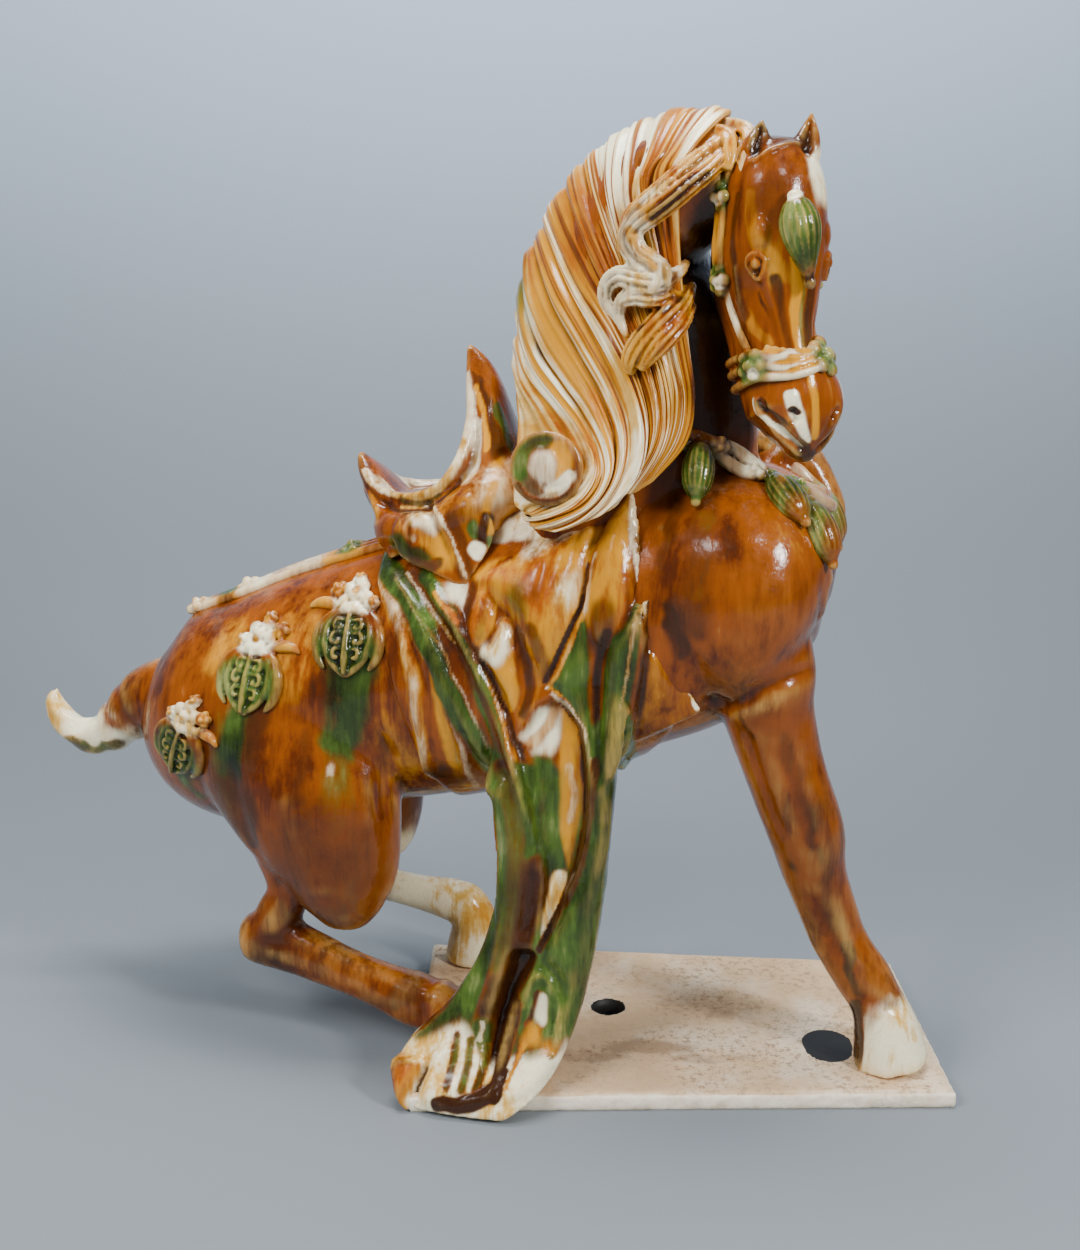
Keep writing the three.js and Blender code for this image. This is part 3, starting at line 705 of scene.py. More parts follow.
LEGS = [Limb(rows) for rows in (
    # Near foreleg
    [(200, -34, 305, 30, 34, 34), (212, -36, 262, 33, 34, 32), (217, -35, 235, 28, 29, 28),
     (228, -33, 198, 24, 26, 25), (243, -30, 157, 23, 25, 24), (249, -29, 133, 20, 20, 21),
     (257, -27, 109, 17, 19, 19), (268, -25, 82, 16, 18, 18), (282, -23, 59, 18, 19, 18),
     (291, -23, 44, 18, 18, 17), (298, -23, 26, 21, 22, 20), (302, -23, 1, 25, 26, 23)],
    # Raised foreleg, its forearm and its cannon
    [(182, 40, 300, 32, 44, 44), (204, 51, 360, 25, 29, 29), (219, 53, 384, 18, 17, 19),
     (233, 50, 372, 14, 14, 16), (243, 46, 351, 13, 13, 15), (246, 44, 336, 7, 7, 7)],
    [(246, 45, 352, 8, 8, 8), (242, 44, 341, 13, 12, 13), (234, 42, 326, 12, 12, 12),
     (222, 41, 312, 15, 15, 15), (212, 40, 298, 16, 17, 17)],
    # Near hind leg, its thigh, gaskin, cannon and hoof
    [(-128, -30, 245, 40, 56, 58), (-104, -44, 205, 42, 70, 72), (-76, -58, 158, 38, 62, 62),
     (-60, -63, 122, 31, 44, 46), (-56, -64, 95, 24, 29, 33), (-56, -63, 77, 13, 14, 16)],
    [(-105, -50, 165, 28, 30, 36), (-106, -56, 128, 20, 20, 20), (-98, -60, 98, 16, 15, 15),
     (-106, -62, 77, 16, 16, 16), (-113, -62, 60, 16, 18, 17), (-114, -62, 52, 8, 8, 8)],
    [(-134, -62, 60, 6, 6, 6), (-127, -62, 60, 16, 17, 17), (-106, -62, 57, 17, 19, 19),
     (-82, -61, 49, 15, 17, 17), (-56, -60, 40, 14, 15, 16), (-30, -59, 31, 15, 16, 17),
     (-10, -58, 24, 17, 19, 19), (6, -57, 20, 15, 16, 15), (12, -57, 18, 6, 6, 6)],
    [(0, -58, 32, 14, 13, 13), (12, -60, 20, 18, 18, 17), (18, -62, 1, 22, 24, 21)],
    # Far hind leg
    [(-130, 30, 245, 40, 56, 58), (-112, 44, 205, 42, 66, 68), (-94, 56, 158, 38, 56, 58),
     (-80, 60, 122, 31, 40, 44), (-74, 60, 95, 24, 26, 30), (-74, 60, 78, 13, 13, 15)],
    [(-110, 48, 165, 28, 30, 36), (-114, 54, 128, 20, 20, 20), (-110, 57, 98, 16, 15, 15),
     (-117, 58, 82, 16, 16, 16), (-122, 58, 68, 16, 17, 16), (-122, 58, 60, 8, 8, 8)],
    [(-140, 58, 66, 6, 6, 6), (-134, 58, 66, 15, 16, 16), (-112, 57, 62, 15, 17, 17),
     (-90, 56, 57, 13, 14, 14), (-62, 56, 53, 12, 12.5, 12.5), (-38, 57, 49, 13, 14, 14),
     (-20, 58, 46, 15, 16, 16), (-8, 58, 43, 13, 12, 12)],
    [(-20, 58, 56, 8, 8, 8), (-12, 58, 47, 15, 16, 16), (-4, 59, 32, 17, 18, 16), (-3, 60, 18, 20, 22, 20),
     (-3, 60, 1, 23, 27, 23)],
)]
TAIL = cord([
    (-205, 0, 217, 22), (-226, 0, 206, 23), (-244, 0, 191, 20), (-263, 0, 176, 15), (-281, 0, 173, 12),
    (-297, 0, 182, 9.5), (-305, 0, 197, 7), (-301, 0, 207, 2),
])


def tail_lift(f, degrees):
    """Wraps of binding round the tail's root, then twisted locks."""
    turn = np.radians(degrees)
    wraps = 1.1 * np.sin(f * 62 + turn) * smoothstep(0.12, 0.2, f) * smoothstep(0.55, 0.42, f)
    locks = 1.3 * np.sin(turn * 4 + f * 24) * smoothstep(0.42, 0.55, f) * smoothstep(1, 0.92, f)
    return wraps + locks


BODY_GROOVES = [
    # Cleft of the breast, seen beside the raised leg
    ([(228, -60, 350), (238, -57, 330), (245, -48, 312), (246, -34, 296)], 3.5, 4),
    ([(236, -52, 352), (244, -44, 334), (250, -32, 318)], 4, -2.5),
    # Where the breast ball overhangs the leg
    ([(176, -62, 262), (190, -56, 246), (203, -66, 250), (216, -68, 259), (232, -60, 266), (243, -44, 268)],
     4, 4),
    # Tendons of the standing foreleg
    ([(205, -60, 232), (216, -57, 196), (230, -54, 158)], 4, 2.2),
    ([(228, -57, 226), (238, -53, 190), (250, -48, 150)], 4, 1.8),
    ([(248, -49, 122), (258, -45, 98), (268, -42, 76)], 3, 1.8),
    ([(262, -42, 122), (270, -40, 96), (280, -38, 72)], 3, -1.2),
    # Coronet and fetlock of the foreleg
    ([(283, -42, 52), (292, -42, 48), (302, -38, 46), (308, -28, 44)], 2.5, 2),
    # Thigh against the belly, and muscles of the thigh
    ([(-30, -72, 232), (-22, -76, 200), (-24, -74, 170), (-32, -70, 140)], 6, 4.5),
    ([(-128, -84, 190), (-118, -86, 150), (-108, -84, 118)], 8, 2),
    ([(-84, -96, 180), (-74, -98, 140), (-62, -92, 105)], 10, -1.5),
    # Hock and tendons of the near hind leg
    ([(-100, -76, 110), (-108, -78, 92), (-120, -78, 78)], 4, 2.2),
    ([(-112, -79, 66), (-84, -78, 58), (-50, -76, 46), (-20, -74, 34)], 3, 1.8),
    ([(-108, -78, 48), (-78, -76, 38), (-44, -75, 28)], 3, 1.2),
    ([(-4, -74, 36), (2, -75, 24), (6, -76, 12)], 2.4, 2),
]
BODY_WASHES = [
    # Chest and shoulder
    (DARK, [(180, -70, 370), (180, -78, 340), (178, -80, 300)], 13, 0.5),
    (GREEN, [(182, -70, 366), (181, -78, 346), (180, -80, 320)], 7, 0.35),
    (DARK, [(160, -60, 376), (162, -76, 330), (166, -80, 280)], 8, 0.45),
    # Painted shade on the near side of the neck above the breast strap, where it lies in shadow
    (DARK, (150, -50, 420), (26, 40, 60), 0.5),
    (DARK, [(158, -80, 308), (166, -80, 286), (176, -78, 262), (184, -74, 242)], 5, 0.6),
    # Dark throat under the jaw: painted shade, as the throat lies in shadow
    (DARK, (186, -50, 500), (30, 50, 80), 1),
    (DARK, (180, -30, 452), (34, 50, 54), 1),
    (HONEY, [(172, -48, 520), (174, -50, 490)], 5, 0.35),
    # Standing foreleg
    (DARK, [(186, -56, 250), (200, -62, 236), (212, -58, 200), (226, -54, 160), (240, -50, 120),
      (258, -46, 90)],
     4, 0.6),
    (DARK, [(226, -58, 240), (236, -54, 200), (252, -48, 150), (262, -44, 110), (276, -40, 70)], 5, 0.3),
    (DARK, [(222, -64, 250), (236, -56, 180), (260, -46, 110)], 22, 0.3),
    (CREAM, (302, -24, 14), (36, 46, 32), 1),
    (DARK, [(280, 46), (282, 30), (283, 18), (281, 1)], 3.8, 1),
    (DARK, [(270, -44, 84), (278, -43, 60), (284, -44, 42)], 6, 0.85),
    (HONEY, (312, -40, 30), (6, 8, 5), 0.7),
    # Rump, thigh and hocks
    (HONEY, (-84, -76, 262), (26, 40, 40), 0.55),
    (HONEY, (-134, -74, 262), (16, 40, 34), 0.6),
    (HONEY, (-20, -80, 240), (20, 30, 60), 0.35),
    (GREEN, [(-42, -80, 262), (-44, -84, 236), (-48, -86, 214)], 17, 0.85),
    (GREEN, [(-46, -86, 216), (-50, -90, 186), (-52, -92, 160)], 13, 0.5),
    (CREAM, [(-52, -84, 240), (-54, -86, 210), (-56, -88, 190)], 3, 0.5),
    (GREEN, [(-116, -84, 230), (-122, -84, 206), (-128, -84, 190)], 12, 0.95),
    (GREEN, [(-126, -84, 190), (-132, -80, 160), (-130, -80, 140)], 12, 0.5),
    (DARK, [(-104, -84, 232), (-108, -86, 196), (-112, -86, 150)], 9, 0.6),
    (DARK, [(-70, -84, 250), (-72, -88, 214), (-76, -90, 170)], 6, 0.4),
    (GREEN, [(-172, -70, 190), (-172, -66, 168), (-166, -60, 148)], 11, 0.75),
    (DARK, (-66, -92, 124), (60, 36, 62), 0.5),
    (GREEN, (-132, -80, 176), (22, 30, 44), 0.5),
    (DARK, (-138, -72, 158), (30, 30, 34), 0.5),
    (DARK, (-108, -78, 60), (16, 20, 14), 0.6),
    (DARK, (-20, -74, 36), (26, 20, 12), 0.55),
    # Far side, as the near side
    (GREEN, (-60, 82, 222), (22, 20, 50), 0.75),
    (GREEN, (-132, 80, 200), (16, 24, 46), 0.8),
    (DARK, (-80, 90, 140), (40, 30, 40), 0.55),
    # Far hind hoof and sock
    (CREAM, [(-44, 57, 64), (-20, 58, 54), (-8, 59, 34), (-3, 60, 2)], 44, 1),
    (HONEY, (-76, 56, 58), (14, 26, 20), 0.9),
    # Raised hoof
    (CREAM, (244, 40, 308), (20, 24, 16), 0.8),
    # Tail
    (DARK, (-232, 0, 200), (20, 30, 26), 0.6),
    (CREAM, [(-252, 0, 182), (-270, 0, 174), (-290, 0, 178), (-305, 0, 200)], 26, 1),
    (GREEN, [(-250, -12, 172), (-268, -12, 160), (-286, -8, 166)], 9, 0.7),
    # Belly under the cloth
    (HONEY, (0, -60, 190), (30, 40, 24), 0.5),
    (GREEN, (20, -70, 200), (16, 20, 30), 0.6),
]


def make_body(props):
    forms = [TRUNK.mesh(56, 60), BREAST.mesh(40, 24), NECK.mesh(40, 34), TAIL.mesh(48, 90, tail_lift)]
    forms += [leg.mesh(30, 30) for leg in LEGS]
    mesh = fused(forms, props.body_grain, 5)
    carved(mesh, BODY_GROOVES)
    softened(mesh, 2)
    rippled(mesh, 30, 0.5, 2)
    glaze_over(mesh, BODY_WASHES, 3)
    return mesh


# The head, with marks given by height and by degrees round: 90 is its front and 180 its right cheek
def on_head(z, degrees, lift=0):
    return HEAD.point(HEAD.find(2, z), degrees, lift)


def head_line(marks):
    """Points on the head at marks of height, degrees round and, where it isn't 0, lift."""
    return [on_head(*mark) for mark in marks]


EYES = ((507, 140), (507, 40))
EARS = [
    [(201, -66, 560, 9), (202, -69, 568, 9), (204, -69, 576, 6), (205, -68, 585, 0.8)],
    [(226, -54, 558, 9), (228, -58, 568, 9), (230, -57, 578, 6), (231, -56, 589, 0.8)],
]
# Round each eye, up and across from its middle, with a radius: the upper lid, then the two that meet at the
# duct. Their inner line lies at a share of their size.
LIDS = (
    ((2, 10, 1.2), (5, 4, 1.5), (5, -4, 1.5), (1.5, -10, 1.2)),
    ((2, 10, 1.2), (-2, 9, 1.3), (-7, 4, 1.3), (-11, -1, 1.2)),
    ((1.5, -10, 1.2), (-3, -8, 1.3), (-7, -5, 1.3), (-11, -1, 1.2)),
)
INNER_LID = 0.62


def head_shape(f, degrees):
    """Hollows of the temples and cheeks, the ridge of the nose and the full muzzle."""
    away = np.abs((degrees % 360) - 90)
    temple = -2.5 * bump(f, 0.42, 0.1) * bump(away, 62, 18)
    hollow = -2.5 * bump(f, 0.62, 0.09) * bump(away, 70, 26)
    jaw = 3.0 * bump(f, 0.45, 0.12) * bump(away, 112, 24)
    nostril = 1.6 * bump(f, 0.8, 0.06) * bump(away, 46, 20)
    ridge = 1.2 * bump(away, 0, 12) * smoothstep(0.3, 0.45, f) * smoothstep(0.8, 0.68, f)
    return temple + hollow + jaw + nostril + ridge


# Grooves and ridges below each eye, up and across from its middle; then those of the muzzle, by height, by
# degrees from the front and by lift, of which the first is the nostril
EYE_GROOVES = (
    ([(-12, 0), (-28, -9), (-46, -16), (-58, -18)], 2.2, 1.4),
    ([(2, 24), (-20, 26), (-38, 20), (-54, 8)], 2.4, -2),
)
MUZZLE_GROOVES = (
    ([(422, 38, 1), (419, 36, 1), (416, 35, 0)], 2.4, 3),
    ([(440, 76, 0), (424, 70, 0), (412, 58, 0), (402, 30, 0)], 1.5, 2.6),
    ([(442, 84, 0), (424, 82, 0), (410, 74, 0), (400, 50, 0)], 2, -2.2),
    ([(436, 24, 0), (420, 26, 0), (406, 12, 0)], 1.6, 1),
)
# Washes of the head, where a mark of two numbers is a height and its degrees round
HEAD_WASHES = [
    (HONEY, [(540, 150), (522, 138), (512, 124), (496, 112)], 4, 0.45),
    (HONEY, [(500, 164), (476, 154), (460, 136)], 3.5, 0.5),
    (DARK, (540, 116), (20, 16, 22), 0.42),
    (DARK, (500, 158), (12, 14, 16), 0.4),
    (DARK, (410, 80), (16, 16, 14), 0.4),
    (DARK, [(540, 166), (520, 168), (498, 164), (480, 158)], 3, 0.6),
    (CREAM, (550, 52), (13, 16, 18), 1),
    (HONEY, [(506, 98), (490, 96), (470, 94), (452, 92)], 4.5, 0.95),
    (GREEN, [(500, 90), (484, 88), (466, 88), (452, 87)], 2.4, 0.6),
    (DARK, [(492, 76), (476, 76), (456, 76)], 5, 0.6),
    (DARK, [(498, 122), (482, 116), (466, 112), (454, 110)], 3.2, 0.55),
    (DARK, [(492, 139), (480, 132), (462, 124)], 1.8, 0.7),
    (HONEY, [(436, 96), (424, 96), (408, 92)], 3, 0.8),
    (CREAM, [(432, 125), (424, 126), (414, 126), (406, 122)], 4.2, 1),
    (CREAM, (428, 24), (8, 11, 16), 1),
    (CREAM, [(442, 174), (424, 172), (410, 164), (400, 140)], 2.2, 0.9),
    (DARK, [(440, 164), (424, 158), (412, 148), (402, 120)], 2.4, 0.8),
    (DARK, [(440, 18), (424, 20), (412, 32), (402, 60)], 1.8, 0.8),
    (DARK, [(421, 130), (418, 126)], 2.6, 1),
    (DARK, (398, 90), (14, 14, 3.5), 0.8),
    (DARK, (215, -64, 576), (26, 20, 12), 0.75),
    (DARK, (505, 215), (16, 26, 60), 0.9),
    # Painted shade in the hollows of the two ears
    (DARK, (202, -77, 571), (3.5, 6, 9), 0.95),
    (DARK, (230, -66, 573), (3.5, 6, 9), 0.95),
]


def lid_line(eye, side, lid, share, lift):
    """A lid's line round an eye, at a share of its size."""
    z, degrees = eye
    return head_line([(z + up * share, degrees + side * over * share, lift) for up, over, _ in lid])


def make_head(props):
    eyes = list(zip(EYES, (1, -1)))
    forms = [HEAD.mesh(56, 90, head_shape)]
    forms += [cord(rows).mesh(24, 20) for rows in EARS]
    for eye, side in eyes:
        z, degrees = eye
        forms.append(ball(on_head(z, degrees, -1.2), (4.5, 4.5, 4.3)))
        forms.append(ball(on_head(z + 16, degrees - 2 * side, -6), (10, 12, 7.5)))
        for lid in LIDS:
            line = lid_line(eye, side, lid, 1, 0.9)
            forms.append(cord([(*at, row[2]) for at, row in zip(line, lid)]).mesh(12, 30))
    mesh = fused(forms, props.head_grain, 4)
    lines = []
    for eye, side in eyes:
        z, degrees = eye
        lines += [(lid_line(eye, side, lid, INNER_LID, 1), 0.9, 1.3) for lid in LIDS]
        for marks, width, depth in EYE_GROOVES:
            marks = [(z + up, degrees + side * over) for up, over in marks]
            lines.append((head_line(marks), width, depth))
        for marks, width, depth in MUZZLE_GROOVES:
            marks = [(at, 90 + away * side, lift) for at, away, lift in marks]
            lines.append((head_line(marks), width, depth))
    lines.append((head_line([(557, 150), (560, 110), (560, 70), (557, 40)]), 2.4, -1.6))
    for rows in EARS:
        tip = rows[3]
        hollow = [(u + 1.5, v - 7.5, z) for u, v, z, _ in rows[:3]] + [(tip[0], tip[1] - 2, tip[2] - 4)]
        lines.append((hollow, 3.4, 4.5))
    carved(mesh, lines)
    washes = []
    for colour, place, *rest in HEAD_WASHES:
        if isinstance(place, list):
            place = head_line(place)
        elif len(place) == 2:
            place = on_head(*place)
        washes.append((colour, place, *rest))
    for eye, side in eyes:
        washes += [(DARK, lid_line(eye, side, lid, INNER_LID, 1), 1.1, 0.75) for lid in LIDS]
    glaze_over(mesh, washes, 4, stray=0.4)
    return mesh


def make_plinth(props):
    """The slab: cut by eye, with soft torn edges, a vent hole and a firing pit."""
    bm = flat_blank(150, 90, 0.06)
    sides = [e for e in bm.edges if abs(e.verts[0].co.z - e.verts[1].co.z) > 0.03]
    bmesh.ops.subdivide_edges(bm, edges=sides, cuts=6)
    half = (SLAB_HIGH[0] - SLAB_LOW[0]) / 2
    front, rear, thick = SLAB_LOW[1], SLAB_HIGH[1], SLAB_HIGH[2]

    def move(blank):
        low, high = blank[:, 2].min(), blank[:, 2].max()
        rise = (blank[:, 2] - low) / (high - low)
        across = blank[:, 0] * 2
        deep = blank[:, 1] + 0.5
        x = across * half
        near = front + 2.5 * (across + 1)
        far = rear - (across + 1) * 0.5 * (rear - PLINTH_FAR_RIGHT)
        y = mix(near, far, deep)
        edge = np.minimum.reduce((1 - np.abs(across), deep, 1 - deep)) < 1e-6
        spot = np.column_stack((x, y, rise * thick))
        torn = cloudy(spot, 9, 4) * 0.9 + cloudy(spot, 3.2, 6) * 0.35
        rim = 1 - smoothstep(0, 3.5, np.minimum.reduce((half - np.abs(x), y - near, far - y)))
        inward = -np.abs(torn) * 1.3 * rim - 1.2 * rim * bump(np.abs(rise - 0.5), 0.5, 0.16)
        x = x + np.sign(x) * inward * (np.abs(x) > half - 4)
        y = y + np.where(deep < 0.5, -inward, inward) * ((y - near < 4) | (far - y < 4))
        z = rise * thick
        z = z + (rise > 0.99) * (cloudy(spot, 22, 7) * 0.35 + cloudy(spot, 5, 8) * 0.14 - 1.5 * rim)
        pit = np.hypot(x - PIT_AT[0], y - PIT_AT[1])
        z = z - (rise > 0.99) * 1.6 * np.exp(-((pit / 2.6) ** 2))
        return np.column_stack((x, y, np.clip(z, 0, thick + 0.6))) * MM

    base = shown("slab", reshaped(bm, move))
    bm = bmesh.new()
    low, high = VENT_RADIUS * MM, (VENT_RADIUS + VENT_FLARE) * MM
    bmesh.ops.create_cone(bm, cap_ends=True, segments=72, radius1=low, radius2=high, depth=0.04)
    bmesh.ops.translate(bm, verts=bm.verts[:], vec=(VENT_AT[0] * MM, VENT_AT[1] * MM, 0.006))
    cutter = shown("vent", ended(bm, "vent"))
    cut = base.modifiers.new("Vent", "BOOLEAN")
    cut.operation = "DIFFERENCE"
    cut.solver = "EXACT"
    cut.object = cutter
    mesh = shaped(base, cutter)
    points = vertices_of(mesh) / MM
    upward = smoothstep(0.6, 0.95, normals_of(mesh)[:, 2])
    around = points[:, :2] + np.stack([cloudy(points, 16, 20 + i) * 2.2 for i in range(2)], axis=-1)
    pool = np.hypot((around[:, 0] - POOL_AT[0]) / POOL_SIZE[0], (around[:, 1] - POOL_AT[1]) / POOL_SIZE[1])
    # The vent's walls join the pool's mask: painted shade, black down the hole
    vent = np.hypot(*(points[:, :2] - VENT_AT).T) < VENT_RADIUS + 0.9
    pool = np.maximum(smoothstep(1.08, 0.94, pool) * upward, vent)
    stain = np.zeros(len(points))
    for x, y, across, deep, strength in STAINS:
        away = np.hypot((around[:, 0] - x) / across, (around[:, 1] - y) / deep)
        stain = np.maximum(stain, strength * smoothstep(1.3, 0.3, away))
    paint(mesh, "ground", [pool, stain * upward, 1 - upward])
    return mesh


# Mane: each guide is one lock's path, from over the crest down to the gather at the withers
MANE_GUIDES = [
    [(46, 14, 436), (45, -2, 438), (47, -14, 424), (48, -24, 408), (50, -42, 392), (54, -58, 378),
     (62, -72, 367), (76, -80, 360)],
    [(46, 14, 470), (47, -5, 469), (61, -30, 443), (83, -53, 423), (100, -67, 405), (107, -78, 390),
     (98, -82, 374), (80, -78, 363), (68, -68, 360)],
    [(52, 12, 508), (53, -5, 508), (57, -24, 482), (70, -40, 455), (88, -56, 436), (104, -67, 420),
     (117, -78, 402), (121, -87, 386), (112, -91, 370), (92, -88, 359), (76, -78, 354)],
    [(64, 12, 520), (62, -8, 522), (81, -43, 490), (102, -60, 461), (120, -71, 435), (131, -80, 410),
     (130, -88, 386), (116, -92, 365), (97, -89, 354)],
    [(72, 8, 538), (70, -14, 538), (96, -48, 498), (120, -67, 467), (138, -77, 436), (145, -84, 410),
     (141, -89, 386), (127, -91, 368)],
    [(90, 2, 558), (86, -22, 557), (104, -51, 521), (125, -68, 485), (142, -77, 454), (151, -82, 426),
     (149, -87, 403), (134, -89, 376)],
    [(104, -2, 570), (100, -26, 570), (114, -56, 534), (128, -68, 503), (141, -76, 472), (153, -82, 447),
     (157, -82, 420), (153, -85, 400), (138, -87, 377)],
    [(122, -10, 580), (116, -34, 580), (119, -61, 548), (128, -69, 518), (144, -76, 482), (157, -80, 452),
     (161, -78, 430), (157, -81, 404), (141, -86, 378)],
    [(140, -16, 588), (133, -36, 588), (133, -64, 560), (134, -71, 540), (148, -77, 503), (160, -77, 455),
     (165, -73, 430), (161, -77, 405), (144, -84, 380)],
    [(168, -28, 594), (163, -50, 592), (154, -72, 570), (147, -77, 553), (153, -77, 515), (163, -71, 462),
     (168, -68, 430), (164, -72, 405), (147, -82, 382)],
    [(190, -40, 592), (184, -58, 587), (171, -76, 570), (164, -78, 552), (163, -72, 515), (167, -63, 465),
     (171, -60, 430), (167, -66, 405), (150, -78, 384)],
]


def mane_point(across, t):
    """Where the mane's outer face lies, before its locks are cut."""
    down = [along(guide, t) for guide in MANE_GUIDES]
    return along(down, across, np.arange(len(t)))


def strands(across, t, seed):
    """Noise that runs along the mane's hairs."""
    return cloudy(np.stack((across, t, np.zeros_like(across)), axis=-1), 1, seed)


def lock_relief(across, t):
    """Main locks of uneven width, each cut with finer hairs."""
    drift = strands(across * 3, t * 1.6, 5) * 0.045
    wave = across + drift + 0.012 * np.sin(across * 23)
    main = np.abs(np.sin(wave * math.pi * 11)) ** 0.75
    second = np.abs(np.sin((wave + drift) * math.pi * 25)) ** 0.8
    hairs = np.sin((wave + 0.4 * drift) * math.tau * 47)
    level = strands(np.floor(wave * 11) * 3.1, t * 1.3, 8)
    return 3.4 * (main - 0.6) + 1.5 * (second - 0.6) + 0.35 * hairs + 1.6 * level


def make_mane(props):
    bm = flat_blank(240, 100)
    blank = np.array([v.co for v in bm.verts])
    across, t = blank[:, 0] + 0.5, 0.5 - blank[:, 1]
    inner = blank[:, 2] < blank[:, 2].mean()

    def move(_):
        at = mane_point(across, t)
        room = np.linalg.norm(mane_point(across + 0.01, t) - mane_point(across - 0.01, t), axis=1)
        room = smoothstep(0.0, 3.4, room)
        axis = NECK.frame(NECK.find(2, np.clip(at[:, 2], 310, 556)))[0][:, :3]
        outward = unit(at - axis)
        fade = smoothstep(0, 0.03, across) * smoothstep(1, 0.97, across) * smoothstep(0, 0.08, t)
        thick = -9 * (1 - smoothstep(0, 0.02, across) * smoothstep(1, 0.98, across) * smoothstep(0, 0.07, t))
        outer_face = at + outward * (fade * room * lock_relief(across, t) + thick)[:, None]
        return placed(np.where(inner[:, None], mix(axis, at, 0.55), outer_face))

    mesh = reshaped(bm, move)
    broad = strands(across * 9, t * 0.7, 31)
    thin = strands(across * 44, t, 33)
    finest = strands(across * 120, t * 2.0, 35)
    # Where more or less of the cream is left
    middle = 0.5 * bump(across, 0.42, 0.16) * bump(t, 0.25, 0.25)
    front_foot = 0.5 * smoothstep(0.82, 0.95, across) * smoothstep(0.3, 0.6, t)
    rear_foot = 0.35 * bump(t, 0.95, 0.3) * smoothstep(0.5, 0.2, across)
    front_top = 0.3 * smoothstep(0.72, 0.88, across) * smoothstep(0.32, 0.15, t)
    bias = 0.02 - middle - front_foot
    bias += rear_foot + front_top
    bias -= 0.45 * smoothstep(0.5, 0.7, across) * smoothstep(0.6, 0.8, t)
    cream = smoothstep(-0.25, 0.35, 0.55 * broad + 0.8 * thin + 0.9 * finest + 0.9 * bias)
    greenish = 0.7 * bump(across, 0.2, 0.07) * bump(t, 0.12, 0.12)
    honey = smoothstep(-0.6, 0.1, finest + 0.4 * thin + 0.4 * smoothstep(0.4, 0.1, across))
    paint(mesh, "honey", [honey, 0, 0])
    proud = crispness(mesh, 5)
    grooves = 0.85 * smoothstep(0.3, 0.8, -proud + 0.2 * thin)
    paint(mesh, "glaze", [cream * (1 - grooves), greenish, grooves])
    paint(mesh, "worn", [smoothstep(0.1, 0.7, proud), smoothstep(0.03, 0.5, -proud), 0])
    flow = mesh.attributes.new("flow", "FLOAT_VECTOR", "POINT")
    values = np.stack((across * 0.16, np.where(inner, 0.1, 0.0), t * 0.2), axis=-1)
    flow.data.foreach_set("vector", values.astype(np.float32).ravel())
    return mesh


CURLS = [
    # Top curl, swept back from behind the ear and folded under
    ([(188, -66, 570, 3), (180, -77, 560, 6), (168, -84, 550, 7), (157, -88, 541, 7.5), (147, -88, 534, 7.5),
      (138, -84, 528, 7), (133, -80, 520, 7), (137, -80, 511, 6), (146, -84, 505, 6), (152, -88, 499, 5),
      (147, -90, 491, 2)], (DARK, 0.2)),
    ([(184, -64, 576, 3), (174, -76, 567, 4.5), (164, -82, 558, 5.5), (153, -87, 548, 5.5),
      (143, -86, 540, 5.5), (134, -81, 533, 5), (130, -78, 524, 4)], (CREAM, 0.2)),
    ([(139, -86, 523, 4), (141, -85, 515, 5), (148, -87, 510, 5), (156, -88, 504, 4),
      (157, -87, 494, 2)], (CREAM, 0.6)),
    # Middle curl
    ([(164, -62, 508, 3), (160, -74, 502, 5), (151, -84, 497, 7), (140, -86, 498, 7), (129, -79, 500, 7),
      (121, -74, 496, 6), (119, -73, 488, 5), (124, -75, 480, 4), (131, -77, 472, 2)], (CREAM, 0.75)),
    ([(162, -62, 494, 3), (156, -75, 490, 5), (148, -83, 488, 6), (138, -85, 489, 6), (130, -80, 486, 5),
      (128, -77, 477, 4), (133, -78, 466, 2)], (CREAM, 0.55)),
    # Lower tongue
    ([(167, -58, 496, 3), (164, -70, 487, 6), (156, -79, 478, 8), (148, -81, 470, 8), (141, -81, 462, 8),
      (136, -80, 453, 7), (135, -79, 445, 3)], (HONEY, 0.45)),
    ([(168, -60, 484, 3), (163, -76, 474, 6), (155, -84, 465, 7), (148, -85, 457, 6),
      (142, -83, 448, 3)], (HONEY, 0.3)),
]
FORELOCKS = [
    [(172, -54, 582, 4), (185, -64, 577, 5), (188, -72, 567, 5), (187, -76, 557, 3.5)],
    [(182, -50, 585, 4), (195, -60, 580, 5), (198, -68, 572, 4.5), (197, -74, 563, 4), (196, -77, 555, 3)],
]


def combed(lobes, depth, twist=0.0):
    """Hairs cut along a lock."""
    return lambda f, degrees: depth * np.abs(np.cos(np.radians(degrees) * lobes / 2 + twist * f)) - depth


def make_locks(props):
    forms = [cord(rows).mesh(36, 60, combed(8, 3.2, 1.5)) for rows, _ in CURLS]
    forms += [cord(rows).mesh(36, 60, combed(5, 1.4, 1)) for rows in FORELOCKS]
    mesh = fused(forms, props.lock_grain, 2)
    washes = []
    for rows, strength in zip(FORELOCKS, (0.1, 0.5)):
        washes.append((HONEY, [row[:3] for row in rows], 12, 0.6))
        washes.append((CREAM, [row[:3] for row in rows], 9, strength))
    for rows, (colour, strength) in CURLS:
        washes.append((HONEY, [row[:3] for row in rows], 12, 0.8))
        washes.append((colour, [row[:3] for row in rows], 12, strength))
    washes += [
        (CREAM, [(186, -80, 571), (170, -88, 561), (154, -93, 548), (142, -92, 540)], 3, 0.6),
        (DARK, [(176, -86, 552), (162, -93, 541), (150, -95, 531)], 5, 0.6),
        (HONEY, [(136, -88, 524), (140, -86, 514), (150, -90, 508)], 4, 0.7),
        (DARK, [(160, -84, 520), (163, -84, 504), (164, -80, 490)], 5, 0.6),
        (DARK, [(160, -84, 486), (150, -86, 479), (141, -84, 474)], 2.4, 0.6),
    ]
    glaze_over(mesh, washes, 2, sharp=5.0, stray=0.5)
    return mesh


